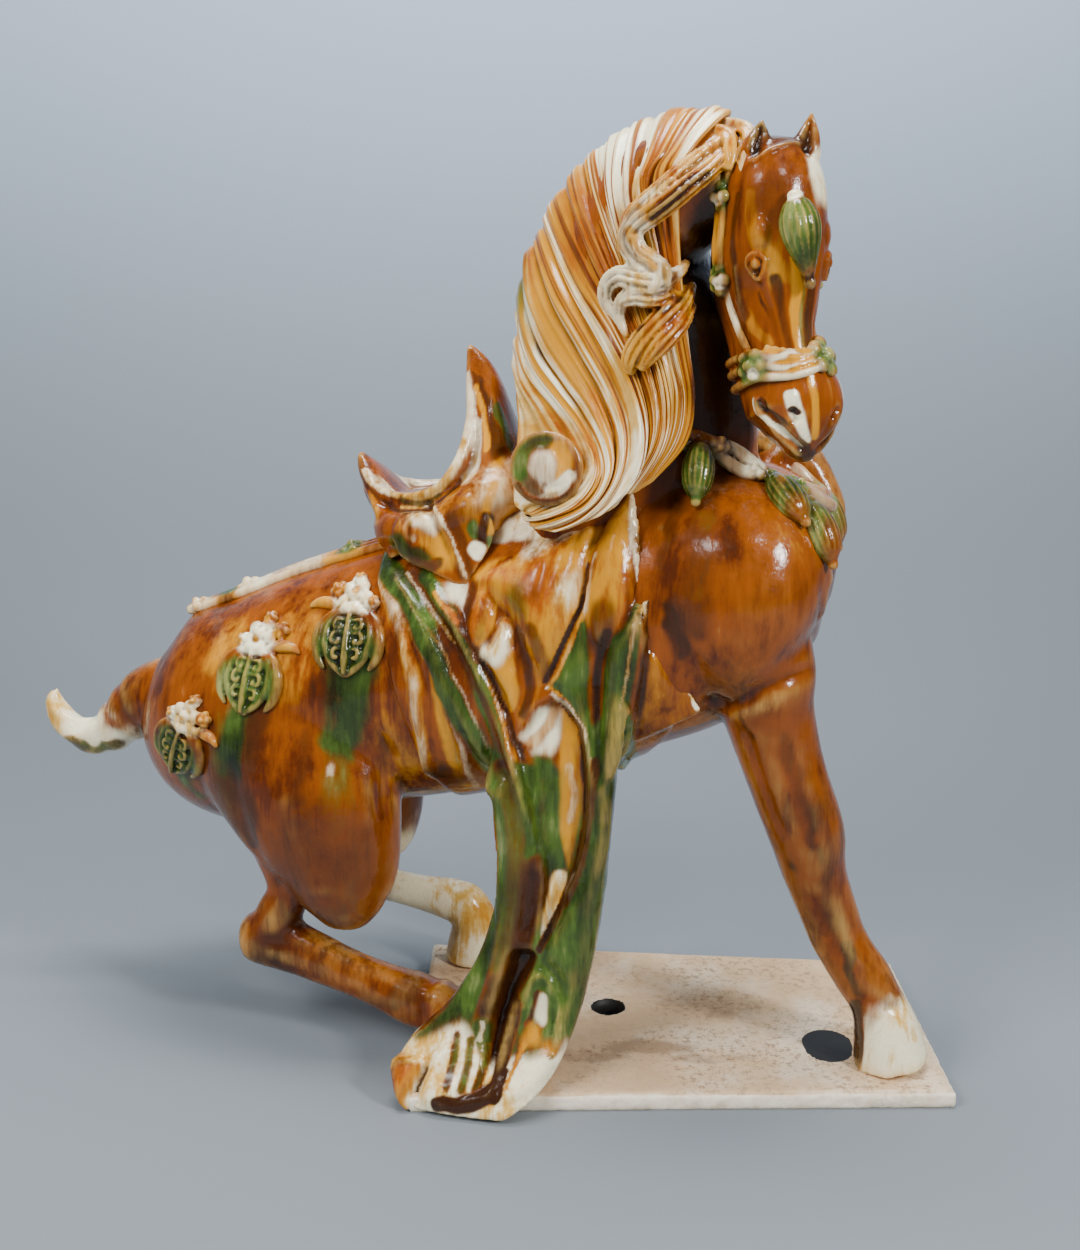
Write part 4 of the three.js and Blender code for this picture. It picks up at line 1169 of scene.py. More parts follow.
# Saddle
POMMEL = Limb([
    (40, 0, 344, 58, 14, 12), (37, 0, 378, 43, 13, 14), (31, 0, 408, 26, 12, 13), (26, 0, 430, 16, 10, 11),
    (20, 0, 446, 8, 7, 8), (15, 0, 458, 1, 1, 1),
])
CANTLE = Limb([
    (-22, 0, 325, 50, 12, 14), (-34, 0, 348, 40, 10, 11), (-46, 0, 364, 26, 8, 9), (-56, 0, 376, 13, 6, 7),
    (-62, 0, 386, 2, 2, 2),
])
SEAT = Limb([
    (-34, 0, 330, 40, 20, 16), (-24, 0, 338, 52, 24, 16), (-8, 0, 343, 57, 21, 18), (8, 0, 348, 59, 20, 20),
    (24, 0, 356, 60, 24, 24), (42, 0, 362, 56, 30, 20), (58, 0, 364, 44, 24, 12),
])
RIM = [
    (-61, -2, 385, 2.4), (-52, -10, 373, 3.4), (-40, -22, 364, 3.8), (-22, -32, 361, 4.2),
    (-6, -37, 364, 4.4),
    (7, -39, 370, 4.4), (16, -37, 382, 4.2), (21, -30, 397, 4), (22, -21, 415, 3.8), (19, -12, 435, 3.4),
    (15, -2, 457, 1.6),
]
WING = [
    (-52, -8, 365, 6), (-38, -19, 354, 8), (-20, -27, 352, 9), (-4, -31, 355, 9), (10, -31, 361, 10),
    (21, -28, 372, 10),
    (27, -22, 388, 9.5), (27, -16, 404, 8.5), (25, -9, 424, 7), (20, -3, 442, 5),
]
SKIRT = [
    (-16, -52, 356, 44, -57, 358, 5), (-20, -55, 346, 48, -59, 348, 8), (-20, -56, 336, 46, -60, 338, 9),
    (-14, -57, 326, 40, -62, 328, 9), (8, -61, 318, 35, -64, 319, 7), (24, -64, 312, 31, -65, 312, 3),
]
DISC_AT = (87, -83, 390)
DISC_RING = 20
FAR_DISC_SHARE = 0.72
# Forms of the saddle as they are seen from the side, through (u, z) points
DOME = [(-18, 346), (-9, 355), (3, 357), (12, 350), (19, 338), (26, 325), (12, 322), (-6, 323), (-17, 332)]
CRESCENT = [
    (4, 362), (16, 369), (30, 369), (37, 359), (44, 351), (38, 345), (34, 335), (31, 328), (30, 316),
    (22, 330), (13, 348),
]
POMMEL_AMBER = [(45, 356), (56, 363), (63, 352), (59, 343), (45, 340), (38, 349)]
POMMEL_CREAM = [(35, 379), (44, 384), (52, 377), (57, 366), (49, 354), (40, 357), (33, 366)]
DOME_EDGE = [(1, 364), (9, 358), (17, 346), (24, 332), (30, 316)]
RIM_SHADE = [
    (-57, 373), (-46, 363), (-34, 356), (-18, 354), (-2, 357), (12, 365), (23, 378), (29, 396), (29, 414),
]
RIM_LIGHT = [
    (-58, 381), (-46, 370), (-30, 363), (-8, 365), (8, 373), (18, 388), (23, 408), (20, 430), (15, 452),
]
HORN_DARK = [(18, 452), (26, 434), (34, 418), (40, 399), (43, 387)]
GREEN_LINE = [(35, 349), (39, 341), (49, 339), (62, 346)]


SADDLE_GROOVES = [
    (DOME_EDGE, 1.5, -2.6),
    ([(-3, 362), (4, 356), (11, 346), (18, 332), (22, 322)], 1.6, 1.6),
    (RIM_SHADE, 1.7, 1.6),
    (GREEN_LINE, 3, 2.2),
    ([(40, 350), (39, 362), (34, 372)], 2, 1.2),
    ([(44, 392), (40, 410), (33, 428)], 2, -1.2),
    ([(79, 383), (88, 379), (97, 381)], 2, 1.4),
    ([(92, 403), (99, 394), (104, 384)], 1.6, 1.2),
]


def arc(u, z, radius, start, stop, count):
    """Points (u, z) along a part of a circle."""
    turns = np.linspace(start, stop, count)
    return [(u + radius * math.cos(a), z + radius * math.sin(a)) for a in turns]


def disc_mark(*marks):
    """Points (u, z) given from the middle of the saddle's disc."""
    u, _, z = DISC_AT
    return [(u + across, z + up) for across, up in marks]


# Washes of the saddle's side, each laid on both sides
SADDLE_WASHES = [
    (DARK, [(-62, 383), (-56, 366), (-46, 352)], 2.2, 0.7),
    (DARK, [(-57, 379), (-47, 368), (-38, 361)], 1.6, 0.6),
    (HONEY, [(-55, 373), (-46, 360), (-38, 349)], 4, 0.6),
    (HONEY, Outline(DOME), 3, 0.8),
    (CREAM, (-1, -60, 347), (16, 20, 11), 0.65),
    (GREEN, [(-17, 336), (-9, 329), (3, 326)], 8, 0.75),
    (DARK, [(-8, 324), (4, 324), (12, 327)], 4, 0.5),
    (HONEY, [(13, 332), (20, 330)], 2.4, 0.8),
    (CREAM, [(-18, 355), (-8, 360), (2, 360)], 3, 0.6),
    (HONEY, Outline(CRESCENT), 4, 0.45),
    (DARK, [(20, 352), (25, 342), (28, 330), (30, 318)], 6, 0.6),
    (CREAM, [(50, 350), (66, 354), (84, 358)], 10, 0.6),
    (CREAM, DOME_EDGE, 1.6, 0.5),
    (CREAM, RIM_LIGHT, 4.5, 0.55),
    (GREEN, [(-20, 360), (-4, 361), (8, 367)], 2.4, 0.5),
    (DARK, RIM_SHADE, 1.6, 0.6),
    (CREAM, [(27, 410), (29, 396), (28, 384), (24, 376)], 4, 0.55),
    (DARK, HORN_DARK, 4, 0.65),
    (HONEY, [(24, 434), (31, 415), (36, 396)], 2, 0.8),
    (GREEN, [(38, 420), (44, 406), (48, 390)], 3, 0.8),
    (HONEY, Outline(POMMEL_CREAM), 6, 0.9),
    (CREAM, Outline(POMMEL_CREAM), 8, 0.45),
    (HONEY, [(42, 384), (44, 372), (42, 360)], 3, 0.6),
    (HONEY, Outline(POMMEL_AMBER), 3, 0.8),
    (GREEN, GREEN_LINE, 5, 1),
    (DARK, [(42, 356), (40, 346), (39, 336)], 3.4, 0.75),
    (CREAM, Outline([(31, 334), (35, 339), (41, 335), (40, 327), (35, 327)]), 1.4, 1),
    # The disc
    (CREAM, Outline(arc(DISC_AT[0], DISC_AT[2], DISC_RING, 0, 5.6, 9)), 4, 0.55),
    (GREEN, disc_mark((-16, -2), (-14, 8), (-8, 14), (0, 16)), 6, 0.7),
    (GREEN, disc_mark((-14, -6), (-6, -12)), 5, 0.5),
    (HONEY, disc_mark((8, 12), (12, 4), (12, -4)), 6, 0.8),
    (CREAM, disc_mark((2, -11), (10, -8), (15, -4)), 3.5, 0.8),
    (DARK, disc_mark((0, -8), (-2, -13)), 2, 0.4),
    (DARK, arc(DISC_AT[0], DISC_AT[2], DISC_RING + 0.5, -2.6, -0.6, 9), 2.4, 0.6),
]


def sideways(marks, side):
    """Marks of the near side, or mirrored to the far side."""
    return [(u, v * side, *rest) for u, v, *rest in marks]


def on_side(washes, side):
    """Washes of the near side, laid on one side or the other."""
    out = []
    for colour, place, size, strength in washes:
        if isinstance(place, Outline):
            out.append((colour, place.on(side), size, strength))
        elif isinstance(place, list):
            out.append((colour, place, size, strength, side))
        else:
            u, v, z = place
            out.append((colour, (u, v * -side, z), size, strength))
    return out


def make_saddle(props):
    forms = [POMMEL.mesh(48, 40), CANTLE.mesh(48, 36), SEAT.mesh(48, 40)]
    for side in (1, -1):
        forms += [cord(sideways(RIM, side)).mesh(16, 90), cord(sideways(WING, side)).mesh(20, 60)]
        forms.append(sheet_mesh(SKIRT, 30, 30, 1, 0, -side))
        u, v, z = DISC_AT
        v *= 1 if side == 1 else FAR_DISC_SHARE
        forms.append(ball((u, v * side, z), (18, 18, 8), (0, v * side, 8), 40))
        ring = [(x, (v - 2) * side, y, 3) for x, y in arc(u, z, DISC_RING, 0, math.tau, 25)]
        forms.append(cord(ring).mesh(12, 90))
        forms.append(ball((u - 6, (v + 14) * side, z - 4), (20, 20, 20), (0, v * side, 8), 32))
    mesh = fused(forms, props.saddle_grain, 6)
    for side in (-1, 1):
        raised(mesh, [(DOME, 2.5, 9), (CRESCENT, 1.5, 6)], side)
        carved(mesh, SADDLE_GROOVES, side)
    softened(mesh, 3)
    glaze_over(mesh, on_side(SADDLE_WASHES, -1) + on_side(SADDLE_WASHES, 1), 3)
    return mesh


# Saddle cloth: a shell round the trunk, with folds pressed into it, and the drape that hangs from them
CLOTH_FRONTS = [(u,) for u in (112, 150, 146, 140, 112, 142, 146, 152, 112)]
CLOTH_BACK = -16
FLAP = [
    (146, -80, 314, 150, -80, 314, 4), (143, -76, 288, 160, -76, 282, 5), (138, -68, 250, 172, -68, 256, 5),
    (131, -58, 214, 181, -66, 242, 5),
]
DRAPE = [
    (34, -60, 290, 128, -60, 296, 3), (38, -76, 262, 132, -76, 268, 5), (50, -83, 222, 132, -82, 234, 9),
    (52, -87, 189, 130, -85, 200, 15), (57, -90, 151, 127, -88, 160, 17), (56, -94, 119, 124, -91, 122, 18),
    (46, -100, 82, 118, -96, 80, 20), (26, -107, 48, 109, -103, 40, 30), (2, -117, 22, 100, -117, 16, 44),
    (-4, -128, 4, 88, -132, 2, 52), (4, -135, -10, 72, -138, -10, 56),
]
UPPER_LEAF = [
    (131, -60, 376, 135, -60, 375, 3), (122, -63, 362, 138, -64, 361, 4), (114, -69, 344, 140, -70, 343, 5),
    (109, -75, 322, 141, -76, 322, 5), (109, -79, 302, 138, -80, 303, 5), (116, -80, 284, 129, -80, 286, 3),
]
# Forms of the cloth as they are seen from the side, each an outline through (u, z) points
TONGUE = [(41, 312), (48, 307), (52, 297), (49, 285), (42, 277), (37, 282), (36, 294), (38, 305)]
FLAME = [
    (58, 295), (63, 288), (67, 268), (70, 253), (65, 239), (60, 247), (54, 259), (48, 268), (43, 275),
    (50, 280),
]
GREAT_FOLD = [
    (35, 316), (51, 328), (70, 338), (97, 350), (115, 352), (113, 338), (110, 318), (104, 294), (94, 276),
    (86, 261),
    (82, 266), (73, 279), (67, 292), (60, 300), (50, 306),
]
LEFT_LEAF = [
    (109, 302), (113, 288), (114, 270), (113, 249), (115, 224), (112, 227), (104, 243), (95, 255), (90, 260),
    (96, 268),
    (103, 282),
]
AMBER_FOLD = [
    (120, 357), (132, 372), (137, 366), (137, 346), (139, 328), (138, 314), (134, 301), (127, 288),
    (122, 281),
    (117, 284), (112, 294), (110, 310), (112, 326), (115, 342),
]
RIGHT_LEAF = [
    (126, 287), (135, 300), (142, 316), (145, 302), (144, 278), (139, 251), (134, 224), (130, 206),
    (124, 192),
    (121, 206), (122, 250), (123, 272),
]
FLAP_OUTLINE = [
    (148, 312), (154, 302), (160, 284), (168, 264), (180, 248), (178, 228), (164, 222), (152, 219),
    (139, 211),
    (130, 206), (136, 227), (142, 245), (146, 264), (147, 284),
]
OPENING = [
    (86, 247), (97, 246), (106, 231), (111, 204), (112, 180), (109, 154), (102, 131), (95, 112), (88, 95),
    (87, 120),
    (86, 145), (82, 179), (76, 204), (69, 222), (74, 235),
]
LEFT_BAND = [
    (62, 200), (54, 184), (59, 160), (61, 134), (59, 98), (55, 73), (50, 50), (55, 40), (62, 52), (69, 75),
    (74, 108),
    (77, 140), (76, 161), (71, 182),
]
TAIL_LEAF = [
    (119, 202), (128, 190), (128, 167), (126, 147), (122, 123), (119, 98), (114, 73), (107, 48), (103, 33),
    (98, 29),
    (100, 50), (103, 67), (98, 79), (91, 84), (92, 100), (101, 118), (109, 133), (115, 155), (118, 179),
]
TROUGH = [
    (70, 88), (83, 88), (83, 79), (75, 63), (70, 48), (66, 30), (63, 17), (56, 20), (58, 43), (62, 63),
    (66, 78),
]
RIGHT_TOE = [(84, 26), (92, 29), (99, 26), (97, 16), (88, 7), (74, 2), (68, 4), (74, 16)]
LEFT_TOE = [
    (22, 22), (34, 30), (48, 26), (60, 20), (60, 10), (48, 4), (37, -2), (28, -6), (18, -4), (17, 6),
    (18, 14),
]
HEM_CURL = [(1, 18), (6, 17), (17, 18), (14, 6), (9, -3), (12, -10), (6, -8), (0, 0), (-4, 12)]
HEM_ONE = [(-37, 318), (-15, 294), (-3, 267), (3, 236), (5, 207), (2, 180), (-5, 160)]
HEM_TWO = [(-20, 308), (1, 281), (15, 258), (25, 233), (31, 209), (31, 178)]
RIDGE_ONE = [(-30, 321), (-5, 301), (12, 276), (26, 248), (39, 219), (50, 196), (57, 182)]
RIDGE_ONE_LINE = [(-18, 313), (5, 291), (21, 272), (34, 249), (44, 222), (58, 194), (66, 170), (68, 150)]
BAND_VALLEY = [(-9, 316), (16, 294), (34, 269), (49, 242), (60, 212), (68, 184), (72, 160)]
RIDGE_TWO = [(3, 315), (23, 293), (39, 270), (51, 241), (62, 215), (71, 188), (76, 166)]
RIDGE_TWO_LINE = [(12, 308), (32, 288), (47, 266), (59, 236), (68, 208), (76, 184), (80, 166), (81, 150)]
PURPLE = [(31, 289), (46, 268), (58, 248), (66, 223), (75, 200), (82, 174), (85, 147)]
GREAT_EDGE = [(111, 333), (109, 318), (107, 306), (101, 292), (93, 275), (86, 262)]
WHITE_EDGE = [(115, 340), (112, 320), (110, 304), (104, 287), (96, 269), (88, 258)]
LEAF_VALLEY = [(124, 292), (120, 276), (118, 256), (118, 237), (120, 218), (119, 200)]
LONG_EDGE = [(136, 374), (137, 352), (142, 331), (146, 308), (146, 284), (142, 258), (136, 229), (128, 200)]
LONG_DARK = [(141, 350), (147, 331), (149, 312), (149, 290), (146, 264), (141, 239), (135, 214)]
OPENING_EDGE = [(96, 249), (107, 229), (111, 202), (113, 174), (109, 151), (102, 128), (94, 107), (87, 90)]
OPENING_RIM = [(90, 254), (104, 241), (113, 221), (116, 202)]
OLIVE_RIDGE = [(118, 212), (117, 187), (114, 161), (109, 140), (102, 124)]
LEFT_RIM = [(55, 180), (58, 150), (60, 120), (59, 92), (54, 65), (46, 42), (37, 26)]
OUTER_LOOP = [(78, 44), (80, 62), (87, 75), (95, 69), (101, 55), (101, 40), (98, 28)]
INNER_LOOP = [(84, 46), (87, 60), (92, 66), (95, 54), (92, 38), (86, 30)]
GREY_STREAK = [(74, 58), (70, 36), (66, 18), (64, 5)]
DRIPS = [[(36, 32), (37, 19), (35, 6)], [(45, 30), (46, 18), (45, 7)], [(55, 26), (55, 14), (53, 8)]]
BLACK_STREAK = [(30, -4), (42, -2), (54, 2), (66, 6)]

CLOTH_PADS = [
    (TONGUE, 4.5, 5), (FLAME, 6, 6), (GREAT_FOLD, 9, 17), (LEFT_LEAF, 4.5, 7), (AMBER_FOLD, 8, 12),
    (RIGHT_LEAF, 7, 8),
]
CLOTH_LINES = [
    (HEM_ONE, 3, -4.2), (HEM_TWO, 2.6, -3.6), (RIDGE_ONE, 4.6, -5.5), (RIDGE_TWO, 4.2, -5.5),
    (BAND_VALLEY, 2.6, 3),
    (RIDGE_ONE_LINE, 1.1, -1.2), (RIDGE_TWO_LINE, 1.3, -1.6), (PURPLE, 2.8, 4), (GREAT_EDGE, 1.3, 2.6),
    (WHITE_EDGE, 1.5, -2.4), (LEAF_VALLEY, 3, 2.6), (LONG_EDGE, 2.4, -4.6), (LONG_DARK, 2.4, 3.4),
    ([(112, 360), (109, 338), (104, 316), (97, 297), (90, 279)], 1.6, 1.2),
    ([(103, 356), (98, 336), (92, 312), (87, 290), (84, 272)], 2, 1.6),
    ([(86, 350), (84, 330), (80, 308), (79, 288)], 3, 1.4),
]
DRAPE_PADS = [
    (OPENING, -7, 5), (LEFT_BAND, 5, 8), (TAIL_LEAF, 6, 8), (TROUGH, -9, 6), (RIGHT_TOE, 5, 6),
    (LEFT_TOE, 4, 7),
    (HEM_CURL, 7, 5),
]
DRAPE_LINES = [
    (OPENING_EDGE, 2, 2.8), (OPENING_RIM, 1.6, -2.4), (OLIVE_RIDGE, 2.8, -4.5), (LEFT_RIM, 2, -3),
    ([(101, 228), (104, 200), (103, 170), (99, 148)], 3, -2.4),
    ([(92, 205), (92, 180), (93, 155), (91, 130)], 2, 1.6), ([(82, 140), (80, 118), (77, 98)], 3.6, 4),
    (OUTER_LOOP, 2.2, -5), (INNER_LOOP, 1.8, -3.2), (GREY_STREAK, 3.6, -3),
    ([(90, 30), (84, 20), (76, 10), (70, 4)], 1.6, 2.6), ([(20, 18), (16, 4), (14, -6)], 1.8, 3),
    (BLACK_STREAK, 3.6, -2.4),
    ([(30, 34), (26, 20), (24, 4)], 2.4, -1.6), ([(50, 46), (50, 32), (56, 20)], 2.2, -2.4),
]
DRAPE_WHOLE = [
    (50, 215), (52, 189), (57, 151), (56, 119), (46, 82), (26, 48), (0, 24), (-8, 4), (0, -16), (84, -16),
    (104, 10),
    (114, 40), (124, 80), (130, 122), (133, 160), (136, 200), (138, 240), (122, 240), (100, 210), (80, 204),
]
DRAPE_FOOT = [(-8, 26), (12, 30), (26, 38), (44, 38), (60, 24), (84, 26), (106, 34), (104, -18), (-12, -18)]
# The flap's raised edge, along which a highlight is painted
FLAP_HIGHLIGHT_EDGE = [(151, 310), (156, 294), (162, 278), (169, 263), (177, 247)]
CLOTH_WASHES = [
    (HONEY, HEM_ONE, 5, 0.8),
    (CREAM, HEM_ONE, 3.6, 0.42),
    (HONEY, [(9, 283), (17, 256), (22, 230), (25, 200), (26, 182)], 6, 0.85),
    (GREEN, [(20, 250), (26, 226), (28, 200), (28, 184)], 3.5, 0.35),
    (DARK, (18, -76, 186), (18, 22, 13), 0.8),
    (CREAM, HEM_TWO, 3, 0.4),
    (GREEN, RIDGE_ONE, 8, 1),
    (GREEN, RIDGE_TWO, 8, 1),
    (DARK, BAND_VALLEY, 3.2, 0.55),
    # Painted highlight on the upper part of the band's valley
    (CREAM, [(-12, 316), (4, 303), (16, 291), (26, 279)], 1.8, 0.5),
    (CREAM, RIDGE_ONE_LINE, 1.6, 0.42),
    (HONEY, RIDGE_TWO_LINE, 2.4, 0.85),
    (CREAM, [(32, 288), (47, 266), (58, 238)], 1.3, 0.45),
    (DARK, PURPLE, 2.8, 0.75),
    (CREAM, Outline([(17, 313), (23, 316), (32, 310), (33, 298), (26, 302), (20, 305)]), 3, 0.7),
    (HONEY, Outline(TONGUE), 1.6, 0.9),
    (GREEN, [(46, 306), (44, 294), (42, 284)], 4, 0.35),
    (DARK, [(34, 318), (34, 306), (32, 294)], 3, 0.6),
    (HONEY, Outline(FLAME), 1.4, 1),
    (CREAM, Outline([(56, 293), (62, 287), (63, 277), (57, 267), (49, 268), (43, 275), (50, 280), (55, 286)]),
     3, 0.75),
    (HONEY, Outline(GREAT_FOLD), 3, 0.95),
    (GREEN, Outline([(57, 313), (66, 324), (75, 320), (77, 302), (73, 284), (67, 293), (61, 301)]), 5, 0.5),
    (DARK, [(78, 290), (83, 276), (84, 266)], 6, 0.5),
    (CREAM, Outline([(90, 321), (100, 331), (106, 329), (105, 316), (98, 298), (93, 305)]), 5, 0.6),
    (CREAM, Outline([(66, 338), (76, 352), (90, 362), (112, 362), (113, 355), (103, 351), (88, 345),
       (74, 334)]), 5, 0.6),
    (GREEN, [(74, 356), (92, 362), (112, 360)], 3.5, 0.35),
    (CREAM, [(44, 346), (60, 350), (80, 357), (102, 362)], 9, 0.6),
    (DARK, GREAT_EDGE, 1.9, 0.8),
    (CREAM, WHITE_EDGE, 1.8, 0.8),
    (HONEY, [(80, 268), (80, 256), (76, 242)], 4, 0.4),
    # Painted shadow along the flame's right side
    (DARK, [(68, 288), (73, 272), (77, 256), (72, 238)], 3.6, 0.6),
    (GREEN, Outline(LEFT_LEAF), 1.6, 1),
    (HONEY, [(109, 303), (103, 286), (96, 270), (89, 259), (95, 253), (104, 242)], 1.6, 0.7),
    (HONEY, Outline(AMBER_FOLD), 2.4, 0.8),
    (DARK, [(122, 306), (121, 295), (121, 284)], 9, 0.5),
    (GREEN, Outline(RIGHT_LEAF), 1.6, 1),
    (DARK, LEAF_VALLEY, 3.4, 0.7),
    (CREAM, LONG_EDGE[:4], 3, 0.6),
    # Painted highlight: a sheen line down the right leaf's ridge
    (CREAM, [(142, 318), (141, 296), (138, 272), (134, 248), (130, 222)], 1.7, 0.55),
    (DARK, LONG_DARK, 2.8, 0.8),
    (HONEY, Outline(FLAP_OUTLINE), 3, 0.3),
    # Painted highlight along the flap's raised edge
    (CREAM, FLAP_HIGHLIGHT_EDGE, 2.2, 1),
    # Drape
    (GREEN, Outline(DRAPE_WHOLE), 2, 1),
    (HONEY, [(50, 170), (53, 130), (46, 90), (28, 56), (8, 34)], 3, 0.45),
    (CREAM, Outline(DRAPE_FOOT), 5, 1),
    (DARK, [(60, 204), (66, 184), (69, 160), (69, 130), (66, 98), (60, 68), (52, 44)], 7, 0.8),
    (GREEN, [(62, 196), (67, 170), (67, 140), (65, 110), (60, 80)], 9, 0.55),
    (HONEY, LEFT_RIM, 2, 0.2),
    (DARK, Outline([(77, 146), (87, 150), (88, 128), (84, 100), (78, 84), (70, 82), (74, 114)]), 2.4, 0.8),
    (CREAM, Outline([(86, 246), (96, 242), (94, 218), (86, 210), (77, 212), (70, 222), (75, 231), (79, 240)]),
     3, 0.85),
    (HONEY, [(91, 244), (86, 228), (76, 218)], 4, 0.55),
    (GREEN, Outline([(78, 211), (89, 212), (95, 201), (95, 179), (98, 155), (93, 132), (87, 142), (84, 165),
       (82, 188)]), 4.5, 0.95),
    (CREAM, [(83, 196), (85, 176), (89, 158)], 3, 0.25),
    (HONEY, Outline([(95, 242), (103, 231), (109, 208), (110, 182), (107, 158), (101, 138), (98, 150),
       (95, 175), (94, 219)]), 2, 0.8),
    (CREAM, [(101, 207), (104, 190), (103, 174)], 3, 0.35),
    (CREAM, Outline([(91, 136), (100, 137), (98, 121), (93, 106), (88, 97), (88, 112), (89, 124)]), 1.6, 1),
    (DARK, OPENING_EDGE, 2.4, 0.9),
    (CREAM, OPENING_RIM, 1.7, 0.5),
    (DARK, OLIVE_RIDGE, 2.8, 0.65),
    (DARK, Outline(TROUGH), 2, 0.85),
    (GREEN, OUTER_LOOP, 3.2, 0.75),
    (DARK, [(86, 64), (84, 52), (80, 44)], 2.2, 0.7),
    (CREAM, Outline([(88, 64), (93, 62), (94, 48), (89, 43), (85, 50)]), 1.6, 0.8),
    (HONEY, Outline([(82, 46), (90, 42), (90, 33), (82, 30), (76, 32)]), 3, 0.8),
    (HONEY, [(79, 31), (75, 20), (72, 9)], 1.8, 0.9),
    (HONEY, Outline([(92, 35), (103, 35), (102, 27), (92, 28)]), 3, 0.7),
    (GREEN, Outline([(46, 42), (56, 46), (59, 30), (54, 22), (49, 30)]), 2, 0.75),
    (CREAM, [(52, 42), (52, 32)], 2.2, 0.6),
    *((HONEY, drip, 3.2, 0.7) for drip in DRIPS),
    *((GREEN, drip, 2.6, 0.6) for drip in DRIPS),
    (DARK, GREY_STREAK, 4, 0.9),
    (HONEY, Outline(HEM_CURL), 2.5, 1),
    (DARK, [(20, 14), (15, 2), (13, -8)], 1.4, 0.6),
    (DARK, BLACK_STREAK, 5, 1),
    (DARK, [(68, 14), (66, 2)], 2.6, 1),
    # Far side
    (GREEN, RIDGE_ONE, 9, 0.95, 1),
    (GREEN, RIDGE_TWO, 8, 0.95, 1),
    (DARK, BAND_VALLEY, 3, 0.7, 1),
    (HONEY, Outline(GREAT_FOLD, 1), 3, 0.7),
    (GREEN, Outline(LEFT_LEAF, 1), 2, 0.95),
    (GREEN, Outline(RIGHT_LEAF, 1), 2, 0.95),
    (CREAM, HEM_ONE, 4, 0.5, 1),
]


def cloth_shell():
    """The cloth's ground: the trunk's own form, a little larger, between its back hem and its front."""
    back = TRUNK.find(0, CLOTH_BACK)
    bm = round_blank(220, 71)

    def move(blank):
        t = 0.5 - blank[:, 2]
        degrees = np.degrees(np.arctan2(blank[:, 1], blank[:, 0]))
        share = (np.hypot(blank[:, 0], blank[:, 1]) > 0.5).astype(float)
        round_it = np.abs((degrees - 90 + 180) % 360 - 180) / 172
        side = np.where(np.abs(degrees) < 90, 1, -1)
        front = along(CLOTH_FRONTS, (1 + side * np.minimum(round_it, 1) * -1) / 2)[:, 0]
        f = mix(back, TRUNK.find(0, front), t)
        lift = 3.2 - 9 * (1 - smoothstep(0, 0.03, t) * smoothstep(1, 0.97, t))
        return placed(TRUNK.point(f, degrees, lift, share))

    return reshaped(bm, move)


def make_cloth(props):
    forms = [cloth_shell(), sheet_mesh(FLAP, 24, 40, 2, 0), sheet_mesh(UPPER_LEAF, 16, 40, 1, 0)]
    forms.append(sheet_mesh(DRAPE, 60, 120, 4, 8))
    drip = [(130, -50, 212, 3), (131, -46, 206, 3.4), (132, -45, 201, 2.6)]
    forms.append(cord(drip).mesh(14, 14))
    mesh = fused(forms, props.cloth_grain, 6)
    raised(mesh, CLOTH_PADS + DRAPE_PADS)
    raised(mesh, CLOTH_PADS, 1)
    carved(mesh, CLOTH_LINES + DRAPE_LINES + [(FLAP_HIGHLIGHT_EDGE, 1.5, -1.8)])
    carved(mesh, CLOTH_LINES, 1)
    softened(mesh, 4)
    rippled(mesh, 18, 0.35, 12)
    glaze_over(mesh, CLOTH_WASHES, 2, sharp=0.8)
    return mesh


class Skin:
    """The finished body, to lay harness on."""

    def __init__(self):
        body = bpy.data.objects.get("Body")
        if body is None:
            raise RuntimeError("the body is made before what lies on it")
        self.tree = BVHTree.FromObject(body, bpy.context.evaluated_depsgraph_get())

    def near(self, point, lift=0.0):
        """The skin's nearest point, raised by a lift, and its outward direction, on the figure's grid."""
        at, normal, _, _ = self.tree.find_nearest(Vector(placed(point)))
        at = on_figure(np.array(at))
        normal = turned_to_figure(np.array(normal))
        return at + normal * lift, normal

    def beside(self, u, z, side=-1):
        """The skin seen from the side at u and z."""
        start = Vector(placed((u, side * 220, z)))
        way = Vector(turned_to_world((0, -side, 0)))
        at, normal, _, _ = self.tree.ray_cast(start, way)
        if at is None:
            raise RuntimeError(f"nothing of the body lies beside {u}, {z}")
        return on_figure(np.array(at)), turned_to_figure(np.array(normal))


# A budded tassel: how far down it, and its radius at the usual length
TASSEL_LENGTH = 36
BUD = [(0, 3), (0.1, 7), (0.3, 11), (0.55, 12), (0.78, 10), (0.93, 5.5), (1, 2)]
DROP = [(0, 3), (0.08, 8), (0.25, 12), (0.45, 12), (0.68, 8.5), (0.88, 4.5), (1, 1.5)]


def ribbed(_, degrees):
    """The ribs round a tassel."""
    return 1.8 * np.abs(np.cos(np.radians(degrees) * 8)) ** 0.7 - 1.8


def bud(at, foot, profile, fat=1.0):
    at, foot = np.asarray(at, float), np.asarray(foot, float)
    length = np.linalg.norm(foot - at)
    rows = []
    for f, r in profile:
        size = r * length / TASSEL_LENGTH * fat
        rows.append((*mix(at, foot, f), size, size * 0.8, size * 0.8))
    ribs = Limb(rows).mesh(96, 40, ribbed)
    cap = ball(at, (4.5, 4.5, 3.4), foot - at, 16)
    bead = ball(mix(at, foot, 1.0), (3.4, 3.4, 4), foot - at, 14)
    return [ribs, cap, bead]


def flower(at, outward, size, petals=6, deep=4.5):
    """A rosette of petals round a bead."""
    outward = unit(np.asarray(outward, float))
    across = unit(np.cross((0.02, 0.01, 1), outward))
    up = np.cross(outward, across)
    at = np.asarray(at, float)
    forms = [ball(at + outward * deep * 0.5, (size * 0.36, size * 0.36, deep * 0.8), outward, 14)]
    for k in range(petals):
        a = math.tau * k / petals
        way = across * math.cos(a) + up * math.sin(a)
        forms.append(ball(at + way * size * 0.62, (size * 0.4, size * 0.4, deep * 0.75), outward, 14))
    return forms


